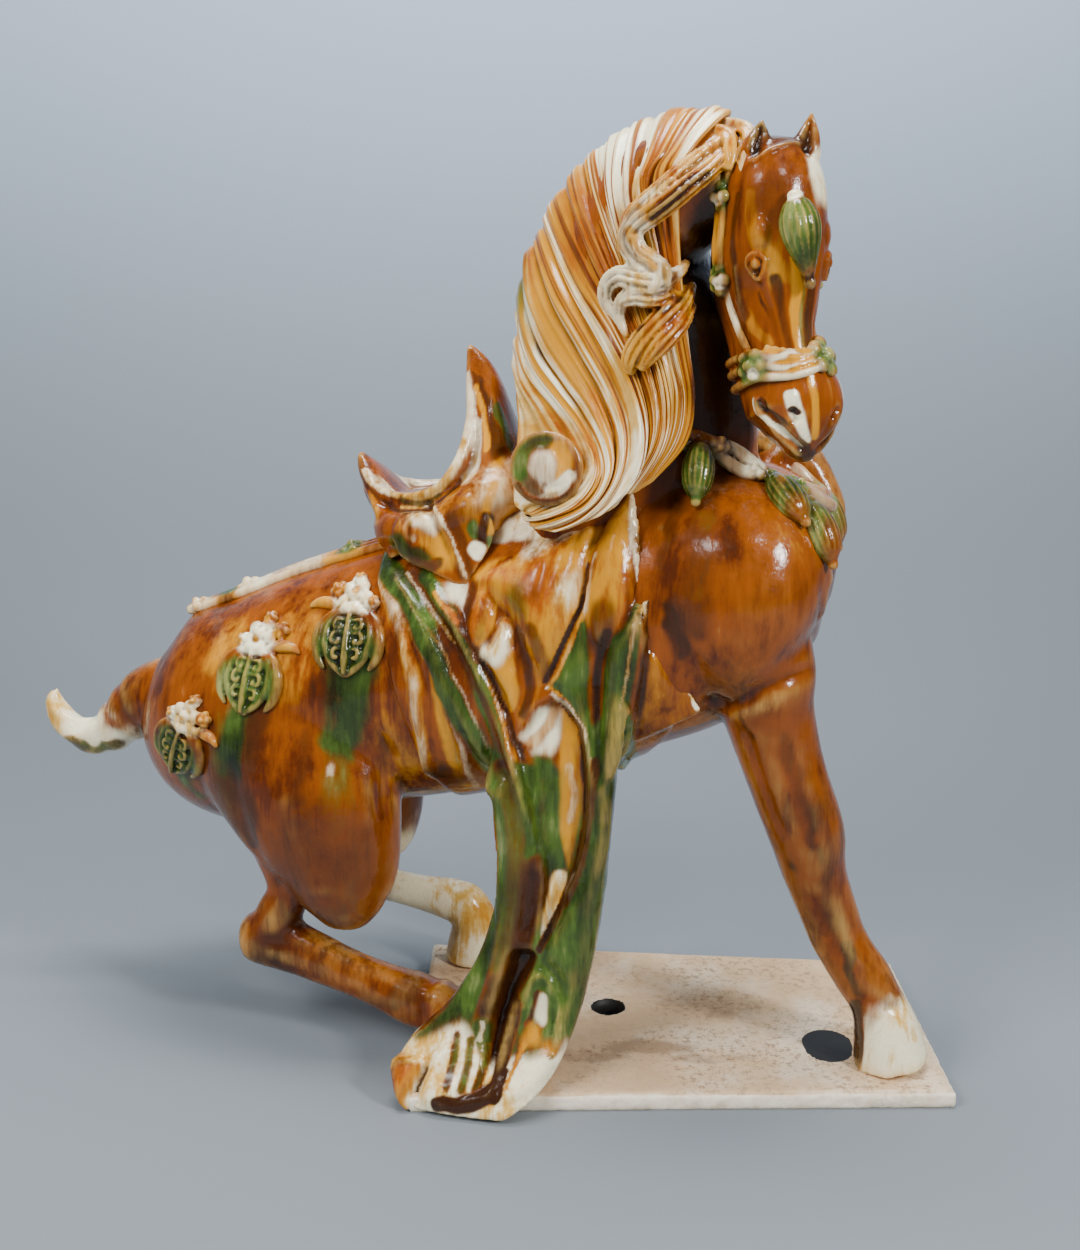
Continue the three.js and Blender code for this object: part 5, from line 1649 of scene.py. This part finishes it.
BREAST_STRAP = [
    (150, -40, 410), (168, -42, 404), (182, -43, 399), (200, -42, 394), (216, -36, 386), (230, -24, 376),
    (240, -6, 364),
    (242, 16, 362), (230, 36, 370), (206, 50, 386), (176, 50, 398), (154, 38, 404),
]
TASSELS = [
    ((173, -50, 405), (1, -14, -37)),
    ((216, -38, 390), (9, -14, -34)),
    ((235, -38, 368), (8, -9, -36)),
    ((238, 26, 368), (5, 9, -36)),
    ((208, 52, 386), (2, 16, -36)),
]
STRAP_FLOWERS = [((184, -46, 401), 7), ((206, -42, 393), 8), ((230, -28, 378), 9)]
CRUPPER = [(-38, -8), (-66, -10), (-95, -11), (-125, -12), (-155, -13), (-185, -14), (-206, -13), (-218, -10)]
CRUPPER_FLOWERS = [(-66, -14, 10), (-158, -14, 10), (-206, -20, 9)]
CRUPPER_HONEY = ((-70, 322), (-105, 308), (-140, 296), (-176, 274), (-200, 256))
CRUPPER_CREAM = ((-92, 312), (-120, 304), (-138, 296), (-176, 274), (-192, 262))
CRUPPER_GREEN = ((-66, -14, 326), (-158, -14, 290))
NOSEBAND_Z = 452
HEAD_FLOWERS = [
    (546, 190, 9.5), (499, 188, 10), (NOSEBAND_Z, 160, 10), (NOSEBAND_Z - 8, 60, 13), (499, -8, 9),
    (546, -10, 9),
]


def around_head(z, start, stop, lift, count=14):
    """A ring round the nose, lower at its front."""
    turns = np.linspace(start, stop, count)
    return [on_head(z - 8 * smoothstep(165, 90, a), a, lift) for a in turns]


def down_tassel(at, lean, share):
    """The point that lies a share of the way down a tassel."""
    return np.add(at, np.multiply(lean, share))


def make_harness(props):
    skin = Skin()
    forms = []
    for drop in (-3.6, 3.6):
        strap = [skin.near((u, v, z + drop), 2.5)[0] for u, v, z in BREAST_STRAP]
        forms.append(cord([(*p, 4.2) for p in strap]).mesh(14, 90))
    for at, lean in TASSELS:
        start = skin.near(at, 4)[0]
        forms += bud(start, skin.near(start + lean, 5)[0], BUD)
    for at, size in STRAP_FLOWERS:
        spot, outward = skin.near(at, 4)
        forms += flower(spot, outward, size, 5)
    # Along the croup
    for side in (-12, -5.5, 1):
        strap = [skin.near((u, v + side - 2, 330), 1.5)[0] for u, v in CRUPPER]
        forms.append(cord([(*p, 3.5) for p in strap]).mesh(12, 90))
    for u, v, size in CRUPPER_FLOWERS:
        spot, outward = skin.near((u, v, 330), 3)
        forms += flower(spot, outward, size, 5, 5)
    # Bridle
    for step in (-1, 0, 1):
        ring = around_head(NOSEBAND_Z + step * 4.6, -60, 240, 1.6, 30)
        forms.append(cord([(*p, 2.7) for p in ring]).mesh(12, 120))
    beads = around_head(NOSEBAND_Z + 8.6, 62, 136, 1.4, 9)
    forms += [ball(p, (2.2, 2.2, 2.2), segments=10) for p in beads]
    for side in (1, -1):
        def cheek(z, shift):
            return on_head(z, 90 + side * (98 + shift), 1.5)

        for shift in (-4, 4):
            strap = [(*cheek(z, shift), 2.6) for z in (560, 546, 530, 514, 498)]
            forms.append(cord(strap).mesh(12, 50))
        lower = [on_head(z, 90 + side * away, 1) for z, away in ((500, 92), (484, 92), (468, 84), (456, 72))]
        forms.append(cord([(*p, 2.4) for p in lower]).mesh(12, 50))
        crown = [on_head(z, 90 + side * away, 1) for z, away in ((546, 98), (560, 88), (568, 60))]
        forms.append(cord([(*p, 2.6) for p in crown]).mesh(12, 30))
    for z, degrees, size in HEAD_FLOWERS:
        spot = on_head(z, degrees, 2)
        forms += flower(spot, on_head(z, degrees, 20) - spot, size, 5, 5)
    forms += bud((226, -88, 543), (236, -88, 497), DROP, 0.88)
    mesh = fused(forms, props.harness_grain, 1)
    washes = [(CREAM, BREAST_STRAP, 12, 0.8), (DARK, BREAST_STRAP, 12, 0.35), (GREEN, BREAST_STRAP, 12, 0.2)]
    for at, lean in TASSELS:
        washes += [(GREEN, down_tassel(at, lean, 0.55), (17, 22, 26), 0.95)]
        washes += [(DARK, down_tassel(at, lean, 1), (6, 14, 5), 0.8)]
    washes += [(HONEY, down_tassel(at, lean, 0.5), (5, 14, 16), 0.6) for at, lean in TASSELS[1:3]]
    washes += [(CREAM, (206, -42, 393), (8, 10, 8), 0.9), (GREEN, (230, -34, 378), (10, 12, 10), 0.8)]
    washes += [(CREAM, around_head(NOSEBAND_Z, 56, 150, 2, 12), 10, 0.75)]
    washes += [(HONEY, around_head(NOSEBAND_Z + drop, 50, 160, 3, 12), 2.2, 0.95) for drop in (-2.3, 2.3, 8)]
    washes += [(GREEN, (231, -94, 522), (18, 24, 27), 0.97), (CREAM, (226, -90, 544), (6, 8, 5), 1.0)]
    washes += [(DARK, (236, -92, 497), (5, 10, 5), 0.9)]
    for z, degrees, size in HEAD_FLOWERS:
        washes += [(GREEN, on_head(z, degrees, 3), (13, 13, 12), 0.95)]
        washes += [(CREAM, on_head(z - 2, degrees - 6, 6), (5, 5, 4), 0.8)]
    washes += [(CREAM, on_head(480, 180), (6, 12, 20), 0.8), (HONEY, on_head(522, 190), (8, 10, 16), 0.9)]
    washes += [(HONEY, (u, -16, z), (20, 26, 18), 0.9) for u, z in CRUPPER_HONEY]
    washes += [(CREAM, (u, -16, z), (17, 24, 16), 0.5) for u, z in CRUPPER_CREAM]
    washes += [(GREEN, at, (11, 13, 10), 0.9) for at in CRUPPER_GREEN]
    glaze_over(mesh, washes, 2, sharp=3, stray=0.4)
    return mesh


# Pendants of the croup: each hangs at u and z, leans by some degrees and carries its side leaf to one side
PENDANTS = [
    (-45, 275, 0, -1, 1),
    (-113, 246, 8, 1, 1),
    (-170, 193, 22, 1, 0.92),
]
# Marks across and up from the shield's middle, each with a radius, in millimetres
SHIELD_RIM = [(0, 19, 2), (9, 17, 3), (15, 8, 3), (15, -4, 3), (9, -15, 2.6), (0, -23, 2)]
OUTER_LEAF = [(3, 20, 1.5), (14, 16, 3.4), (21, 4, 4.2), (20, -10, 3.4), (15, -19, 1.2)]
SHIELD_RIB = [(0, 18, 1.6), (0, 2, 2.2), (0, -12, 2.4), (0, -22, 1.4)]
SCROLLS = [
    [(3, 12, 1), (8, 12, 1.6), (9, 7.5, 1.5), (5, 6.5, 1.5), (5.5, 9.5, 1)],
    [(3, 3.5, 1), (9, 3.5, 1.6), (10, -1.5, 1.5), (5.5, -2.5, 1.5), (6, 0.5, 1)],
    [(3, -6, 1), (8, -6.5, 1.5), (8, -11, 1.5), (4.5, -11.5, 1.3)],
]
BLOSSOMS = [(0, 30, 12.5), (14, 36, 6.5), (-13, 25, 5.5), (1, 45, 5)]
SIDE_LEAF = [(8, 21, 2), (17, 25, 4.2), (26, 26, 3.6), (33, 23, 1)]
PENDANT_WASHES = [
    (CREAM, 0, 31, (19, 20, 14), 0.95), (CREAM, 0, 21, (9, 12, 5), 0.9),
    (HONEY, 24, 25, (10, 14, 6), 1), (HONEY, 13, 36, (6, 12, 6), 0.8),
]


def make_pendants(props):
    skin = Skin()
    forms, washes = [], []
    for side in (-1, 1):
        for u, z, lean, leaf_side, size in PENDANTS:
            centre, outward = skin.beside(u, z, side)
            a = math.radians(lean)
            across = unit(np.cross(np.cross(outward, (1, 0, 0)), outward))
            across *= np.sign(across[0])
            up = np.cross(across, outward) * (1 if np.cross(across, outward)[2] > 0 else -1)
            across, up = across * math.cos(a) - up * math.sin(a), up * math.cos(a) + across * math.sin(a)

            def spot(x, y, lift=0.0):
                return skin.near(centre + (across * x + up * y) * size, lift)

            def laid(marks, lift, mirror=1):
                rows = [(*spot(x * mirror, y, lift)[0], r * size) for x, y, r in marks]
                return cord(rows).mesh(14, 8 * len(marks))

            forms.append(ball(spot(0, 0, -2)[0], (17 * size, 20 * size, 6), outward, 32))
            forms.append(laid(SHIELD_RIB, 5.2))
            for way in (1, -1):
                forms += [laid(SHIELD_RIM, 2.2, way), laid(OUTER_LEAF, 1.2, way)]
                forms += [laid(scroll, 4.6, way) for scroll in SCROLLS]
            forms.append(laid(SIDE_LEAF, 1.5, leaf_side))
            forms.append(ball(spot(0, 20, 2)[0], (9 * size, 5 * size, 5), outward, 20))
            for x, y, radius in BLOSSOMS:
                at, way = spot(x * leaf_side, y, 2)
                forms += flower(at, way, radius * size, 5, 4.6)
                washes.append((HONEY, at + way * 5, (3.5 * size, 9, 3.5 * size), 0.8))
            washes.append((GREEN, spot(0, -4, 3)[0], (25, 26, 25 * size), 0.95))
            for colour, x, y, reach, strength in PENDANT_WASHES:
                washes.append((colour, spot(x * leaf_side, y)[0], reach, strength))
    mesh = fused(forms, props.pendant_grain, 2)
    washes.sort(key=lambda wash: (GREEN, CREAM, HONEY).index(wash[0]))
    glaze_over(mesh, washes, 2, sharp=3.2, stray=0.4)
    return mesh


CHALK = (1.0, 0.92, 0.76, 1)
# Black glaze of the pool, also painted on the vent's walls as shade
BLACK_GLAZE_AND_VENT_SHADE = (0.012, 0.010, 0.008, 1)


def ground_material(name, colours):
    """Matt buff clay of the slab, with its brown earth, chalky edge and pool of black glaze; the same black
    is painted on the vent's walls as shade.
    """
    material, tree, shader = new_material(name)
    place = put(tree, "ShaderNodeTexCoord").outputs["Object"]
    pool, stain, edge = painted(tree, "ground")
    soft = noisy(tree, place, 16, 5, 0.6)
    grain = noisy(tree, place, 900, 3, 0.7)
    blot = noisy(tree, place, 60, 6, 0.7)
    warm, plain, pale = (colours[key] for key in ("clay_warm", "clay", "clay_pale"))
    clay = ramp(tree, soft, [(0.3, warm), (0.5, plain), (0.7, pale)])
    clay = blended(tree, ranged(tree, grain, 0.3, 0.75, 0.0, 0.35), clay, (*tinted(plain, 0.62), 1))
    earth = ranged(tree, swayed(tree, blot, 1.3, stain), 0.3, 0.8)
    patches = ranged(tree, noisy(tree, place, 11, 3), 0.42, 0.62, 0.15, 0.8)
    dirty = sums(tree, "MAXIMUM", patches, ranged(tree, stain, 0.1, 0.6))
    specks = times(tree, ranged(tree, noisy(tree, place, 170, 5, 0.8), 0.5, 0.6), dirty)
    dirt = sums(tree, "MAXIMUM", specks, times(tree, earth, 0.7))
    clay = blended(tree, dirt, clay, (*colours["earth"][:3], 1))
    chalk = times(tree, edge, ranged(tree, blot, 0.3, 0.7, 0.45, 1.0))
    clay = blended(tree, chalk, clay, CHALK)
    # Black of the glaze pool, and painted shade on the vent's walls
    black = ranged(tree, pool, 0.4, 0.6)
    clay = blended(tree, black, clay, BLACK_GLAZE_AND_VENT_SHADE)
    tree.links.new(clay, shader.inputs["Base Color"])
    tree.links.new(ranged(tree, black, 0, 1, 0.92, 0.6), shader.inputs["Roughness"])
    height = sums(tree, "MULTIPLY_ADD", grain, 0.35, blot)
    height = times(tree, height, sums(tree, "SUBTRACT", 1.0, black))
    uneven(tree, shader, height, 0.6, 0.0012)
    return material


def colour_prop(name, description, default):
    colour = (*default, 1)
    return FloatVectorProperty(
        name=name, description=description, subtype="COLOR", size=4, min=0, max=1, default=colour
    )


def grain_prop(piece, words, default, finest, coarsest):
    """How finely a piece is modelled. The words say which piece it is."""
    description = f"Finest form kept on the {words}, in millimetres"
    return FloatProperty(
        name=f"{piece} grain", description=description, default=default, min=finest, max=coarsest
    )


class HorseGlaze(bpy.types.PropertyGroup):
    """Colours of the glazes, of the slip under them and of the slab."""

    amber: colour_prop("Amber", "Iron glaze over the body", (0.215, 0.047, 0.0))
    russet: colour_prop("Russet", "Iron glaze where it is thicker", (0.095, 0.016, 0.0))
    honey: colour_prop("Honey", "Amber glaze where it is thin", (0.56, 0.235, 0.006))
    straw: colour_prop("Straw", "Cream glaze stained by amber", (0.74, 0.46, 0.12))
    cream: colour_prop("Cream", "Clear glaze over the white slip", (0.97, 0.87, 0.60))
    green: colour_prop("Green", "Copper glaze", (0.042, 0.078, 0.010))
    pale_green: colour_prop("Pale green", "Copper glaze where it is thin", (0.27, 0.30, 0.10))
    dark: colour_prop("Dark", "Amber glaze where it pools thickly", (0.034, 0.010, 0.002))
    dust: colour_prop("Dust", "Dry burial dust", (0.42, 0.34, 0.26))
    clay: colour_prop("Clay", "Bare clay of the slab", (0.66, 0.46, 0.27))
    clay_warm: colour_prop("Warm clay", "Clay where it fired pinker", (0.56, 0.36, 0.20))
    clay_pale: colour_prop("Pale clay", "Clay with a chalky bloom", (0.82, 0.69, 0.53))
    earth: colour_prop("Earth", "Brown earth in the clay", (0.27, 0.165, 0.09))


class HorseModelling(bpy.types.PropertyGroup):
    """How finely each piece is modelled."""

    body_grain: grain_prop("Body", "body", 2.7, 1.5, 8)
    head_grain: grain_prop("Head", "head", 1.1, 0.8, 4)
    lock_grain: grain_prop("Curl", "curls", 1.0, 0.6, 4)
    saddle_grain: grain_prop("Saddle", "saddle", 1.55, 0.8, 4)
    cloth_grain: grain_prop("Cloth", "saddle cloth", 1.85, 1, 5)
    harness_grain: grain_prop("Harness", "harness", 1.0, 0.6, 3)
    pendant_grain: grain_prop("Pendant", "pendants", 0.95, 0.6, 3)


class HorseStudio(bpy.types.PropertyGroup):
    """The camera and the lights."""

    camera_at: FloatVectorProperty(
        name="Camera", description="Where the camera stands", subtype="TRANSLATION", unit="LENGTH",
        default=(-0.090, -0.949, 0.514),
    )
    camera_tilt: FloatProperty(
        name="Tilt", description="How far the camera looks up from straight down", subtype="ANGLE",
        default=math.radians(76.8),
    )
    lens: FloatProperty(
        name="Lens", description="Focal length in millimetres on a 36 mm frame", default=43.2, min=10
    )
    strength: FloatProperty(
        name="Light", description="Share of the usual light", default=1.0, min=0, soft_max=3
    )


def usual_glaze():
    return bpy.data.materials.get("Sancai glaze") or glaze_material("Sancai glaze", glaze_colours())


def build_piece(name, maker, material=None):
    """Makes one of the horse's pieces, and hides the solid it stands for."""
    material = material or usual_glaze()
    mesh = maker(bpy.context.scene.horse_modelling)
    if not len(mesh.polygons):
        raise RuntimeError(f"{name} came out empty")
    obj = finished(name, mesh, material)
    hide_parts("horse")
    print(name, sum(len(p.vertices) - 2 for p in mesh.polygons), "triangles")
    return {"FINISHED"}


class HORSE_OT_body(bpy.types.Operator):
    """Model the body, neck, legs and tail as one skin"""

    bl_idname = "horse.body"
    bl_label = "Body"

    def execute(self, context):
        return build_piece("Body", make_body)


class HORSE_OT_head(bpy.types.Operator):
    """Model the head with its eyes, ears, nostrils and mouth"""

    bl_idname = "horse.head"
    bl_label = "Head"

    def execute(self, context):
        return build_piece("Head", make_head)


class HORSE_OT_slab(bpy.types.Operator):
    """Model the clay slab with its vent hole, pit, torn edges and pool of glaze"""

    bl_idname = "horse.slab"
    bl_label = "Slab"

    def execute(self, context):
        material = ground_material("Bare clay", glaze_colours())
        obj = finished("Slab", make_plinth(context.scene.horse_modelling), material)
        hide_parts("plinth")
        return {"FINISHED"}


def make_floor():
    """A sheet that runs back from the figure and bends up into a backdrop."""
    bm = bmesh.new()
    bmesh.ops.create_grid(bm, x_segments=2, y_segments=90, size=1)
    for vertex in bm.verts:
        x, y, _ = vertex.co
        run = (y + 1) * 3.2
        bend = min(max(0, run - FLOOR_RUN) / SWEEP, math.pi / 2)
        rise = max(0, run - FLOOR_RUN - SWEEP * math.pi / 2)
        back = min(run, FLOOR_RUN) + FLOOR_FRONT + math.sin(bend) * SWEEP
        vertex.co = (x * 6, back, (1 - math.cos(bend)) * SWEEP + rise)
    mesh = ended(bm, "Floor")
    mesh.polygons.foreach_set("use_smooth", [True] * len(mesh.polygons))
    floor = shown("Floor", mesh)
    material, tree, shader = new_material("Pale paper")
    place = put(tree, "ShaderNodeTexCoord").outputs["Object"]
    height = put(tree, "ShaderNodeSeparateXYZ", {"Vector": place})
    # Painted light: the paper darkens towards the floor and lightens up the backdrop
    shade = ramp(tree, ranged(tree, height.outputs["Z"], 0.0, 1.6), PAPER_PAINTED_LIGHT)
    tree.links.new(shade, shader.inputs["Base Color"])
    shader.inputs["Roughness"].default_value = 0.9
    mesh.materials.append(material)


class HORSE_OT_studio(bpy.types.Operator):
    """Set up the floor, the lights and the camera"""

    bl_idname = "horse.studio"
    bl_label = "Studio"

    def execute(self, context):
        studio = context.scene.horse_studio
        make_floor()
        world = bpy.data.worlds.new("Studio air")
        context.scene.world = world
        world.use_nodes = True
        background = world.node_tree.nodes["Background"]
        background.inputs["Color"].default_value = (0.62, 0.68, 0.76, 1)
        background.inputs["Strength"].default_value = 0.3 * studio.strength
        for name, at, towards, size, power, colour, glinting in STUDIO_LIGHTS:
            light = bpy.data.lights.new(name, "AREA")
            light.shape = "RECTANGLE"
            light.size, light.size_y = size
            light.energy = power * studio.strength
            light.color = colour
            lamp = shown(name, light)
            lamp.visible_glossy = glinting
            lamp.location = at
            lamp.rotation_euler = (Vector(towards) - Vector(at)).to_track_quat("-Z", "Y").to_euler()
        lens = bpy.data.cameras.new("Camera")
        lens.lens = studio.lens
        lens.sensor_width = 36
        lens.sensor_fit = "AUTO"
        lens.clip_start = 0.01
        camera = shown("Camera", lens)
        camera.location = studio.camera_at
        camera.rotation_euler = (studio.camera_tilt, 0, 0)
        context.scene.camera = camera
        return {"FINISHED"}


class HORSE_OT_mane(bpy.types.Operator):
    """Model the mane as one combed sheet of locks"""

    bl_idname = "horse.mane"
    bl_label = "Mane"

    def execute(self, context):
        glaze = glaze_material("Mane glaze", glaze_colours(), 0.2, 0.6, True)
        return build_piece("Mane", make_mane, glaze)


class HORSE_OT_locks(bpy.types.Operator):
    """Model the forelock and the curls beside the mane"""

    bl_idname = "horse.locks"
    bl_label = "Curls"

    def execute(self, context):
        return build_piece("Curls", make_locks)


class HORSE_OT_saddle(bpy.types.Operator):
    """Model the saddle with its pommel, cantle and side bosses"""

    bl_idname = "horse.saddle"
    bl_label = "Saddle"

    def execute(self, context):
        return build_piece("Saddle", make_saddle)


class HORSE_OT_cloth(bpy.types.Operator):
    """Model the saddle cloth, its folds and the drape that falls to the slab"""

    bl_idname = "horse.cloth"
    bl_label = "Saddle cloth"

    def execute(self, context):
        return build_piece("SaddleCloth", make_cloth)


class HORSE_OT_harness(bpy.types.Operator):
    """Model the bridle, the breast strap with its tassels and the crupper"""

    bl_idname = "horse.harness"
    bl_label = "Harness"

    def execute(self, context):
        return build_piece("Harness", make_harness)


class HORSE_OT_pendants(bpy.types.Operator):
    """Model the flower and palmette pendants of the croup"""

    bl_idname = "horse.pendants"
    bl_label = "Pendants"

    def execute(self, context):
        return build_piece("Pendants", make_pendants)


PIECES = (
    HORSE_OT_body,
    HORSE_OT_head,
    HORSE_OT_mane,
    HORSE_OT_locks,
    HORSE_OT_saddle,
    HORSE_OT_cloth,
    HORSE_OT_harness,
    HORSE_OT_pendants,
    HORSE_OT_slab,
    HORSE_OT_studio,
)


# The floor in metres: where it begins, how far it runs back, and the radius that it bends up with
FLOOR_FRONT = -2.1
FLOOR_RUN = 2.5
SWEEP = 1.7
# Painted light on the paper, by height: darker on the floor, lighter up the backdrop
PAPER_PAINTED_LIGHT = [(0.0, (0.188, 0.214, 0.240)), (0.12, (0.262, 0.302, 0.345)), (0.75, (0.62, 0.74, 0.92))]
# Each light: its name, place, aim, size, power, colour, and whether it shows as a glint in the glaze
STUDIO_LIGHTS = (
    ("Left softbox", (-1.15, -1.0, 1.35), (-0.1, 0, 0.28), (0.8, 0.9), 34, (1.0, 0.98, 0.95), False),
    ("Left lamp", (-0.95, -1.1, 1.3), (-0.1, 0, 0.28), (0.1, 0.14), 2.2, (1.0, 0.99, 0.97), True),
    ("Right softbox", (0.95, -1.0, 1.0), (-0.05, 0, 0.3), (0.2, 0.36), 22, (1.0, 0.99, 0.97), True),
    ("Top softbox", (-0.1, 0.05, 1.7), (-0.1, 0, 0.2), (0.8, 0.4), 25, (1.0, 1.0, 1.0), True),
    ("Front lamp", (0.3, -1.1, 1.45), (0.05, 0, 0.35), (0.1, 0.1), 1.6, (1.0, 1.0, 0.98), True),
    ("Backdrop light", (0, 0.7, 2.4), (0, 2.0, 0.9), (2.4, 0.4), 30, (0.95, 0.98, 1.0), False),
)


class HORSE_PT_workshop(bpy.types.Panel):
    """Lists the pieces, the sizes and the colours"""

    bl_idname = "HORSE_PT_workshop"
    bl_label = "Tomb Horse"
    bl_space_type = "VIEW_3D"
    bl_region_type = "UI"
    bl_category = "Horse"

    def draw(self, context):
        layout = self.layout
        for operator in PIECES:
            layout.operator(operator.bl_idname)
        for group in (context.scene.horse_modelling, context.scene.horse_glaze, context.scene.horse_studio):
            box = layout.box()
            for name in group.__annotations__:
                box.prop(group, name)


GROUPS = {"horse_glaze": HorseGlaze, "horse_modelling": HorseModelling, "horse_studio": HorseStudio}


def register():
    for cls in (*GROUPS.values(), *PIECES, HORSE_PT_workshop):
        bpy.utils.register_class(cls)
    for name, group in GROUPS.items():
        setattr(bpy.types.Scene, name, PointerProperty(type=group))


def unregister():
    for name in GROUPS:
        delattr(bpy.types.Scene, name)
    for cls in (HORSE_PT_workshop, *reversed(PIECES), *reversed(GROUPS.values())):
        bpy.utils.unregister_class(cls)


def main():
    register()
    for operator in PIECES:
        category, name = operator.bl_idname.split(".")
        getattr(getattr(bpy.ops, category), name)()
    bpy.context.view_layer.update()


if __name__ == "__main__":
    main()
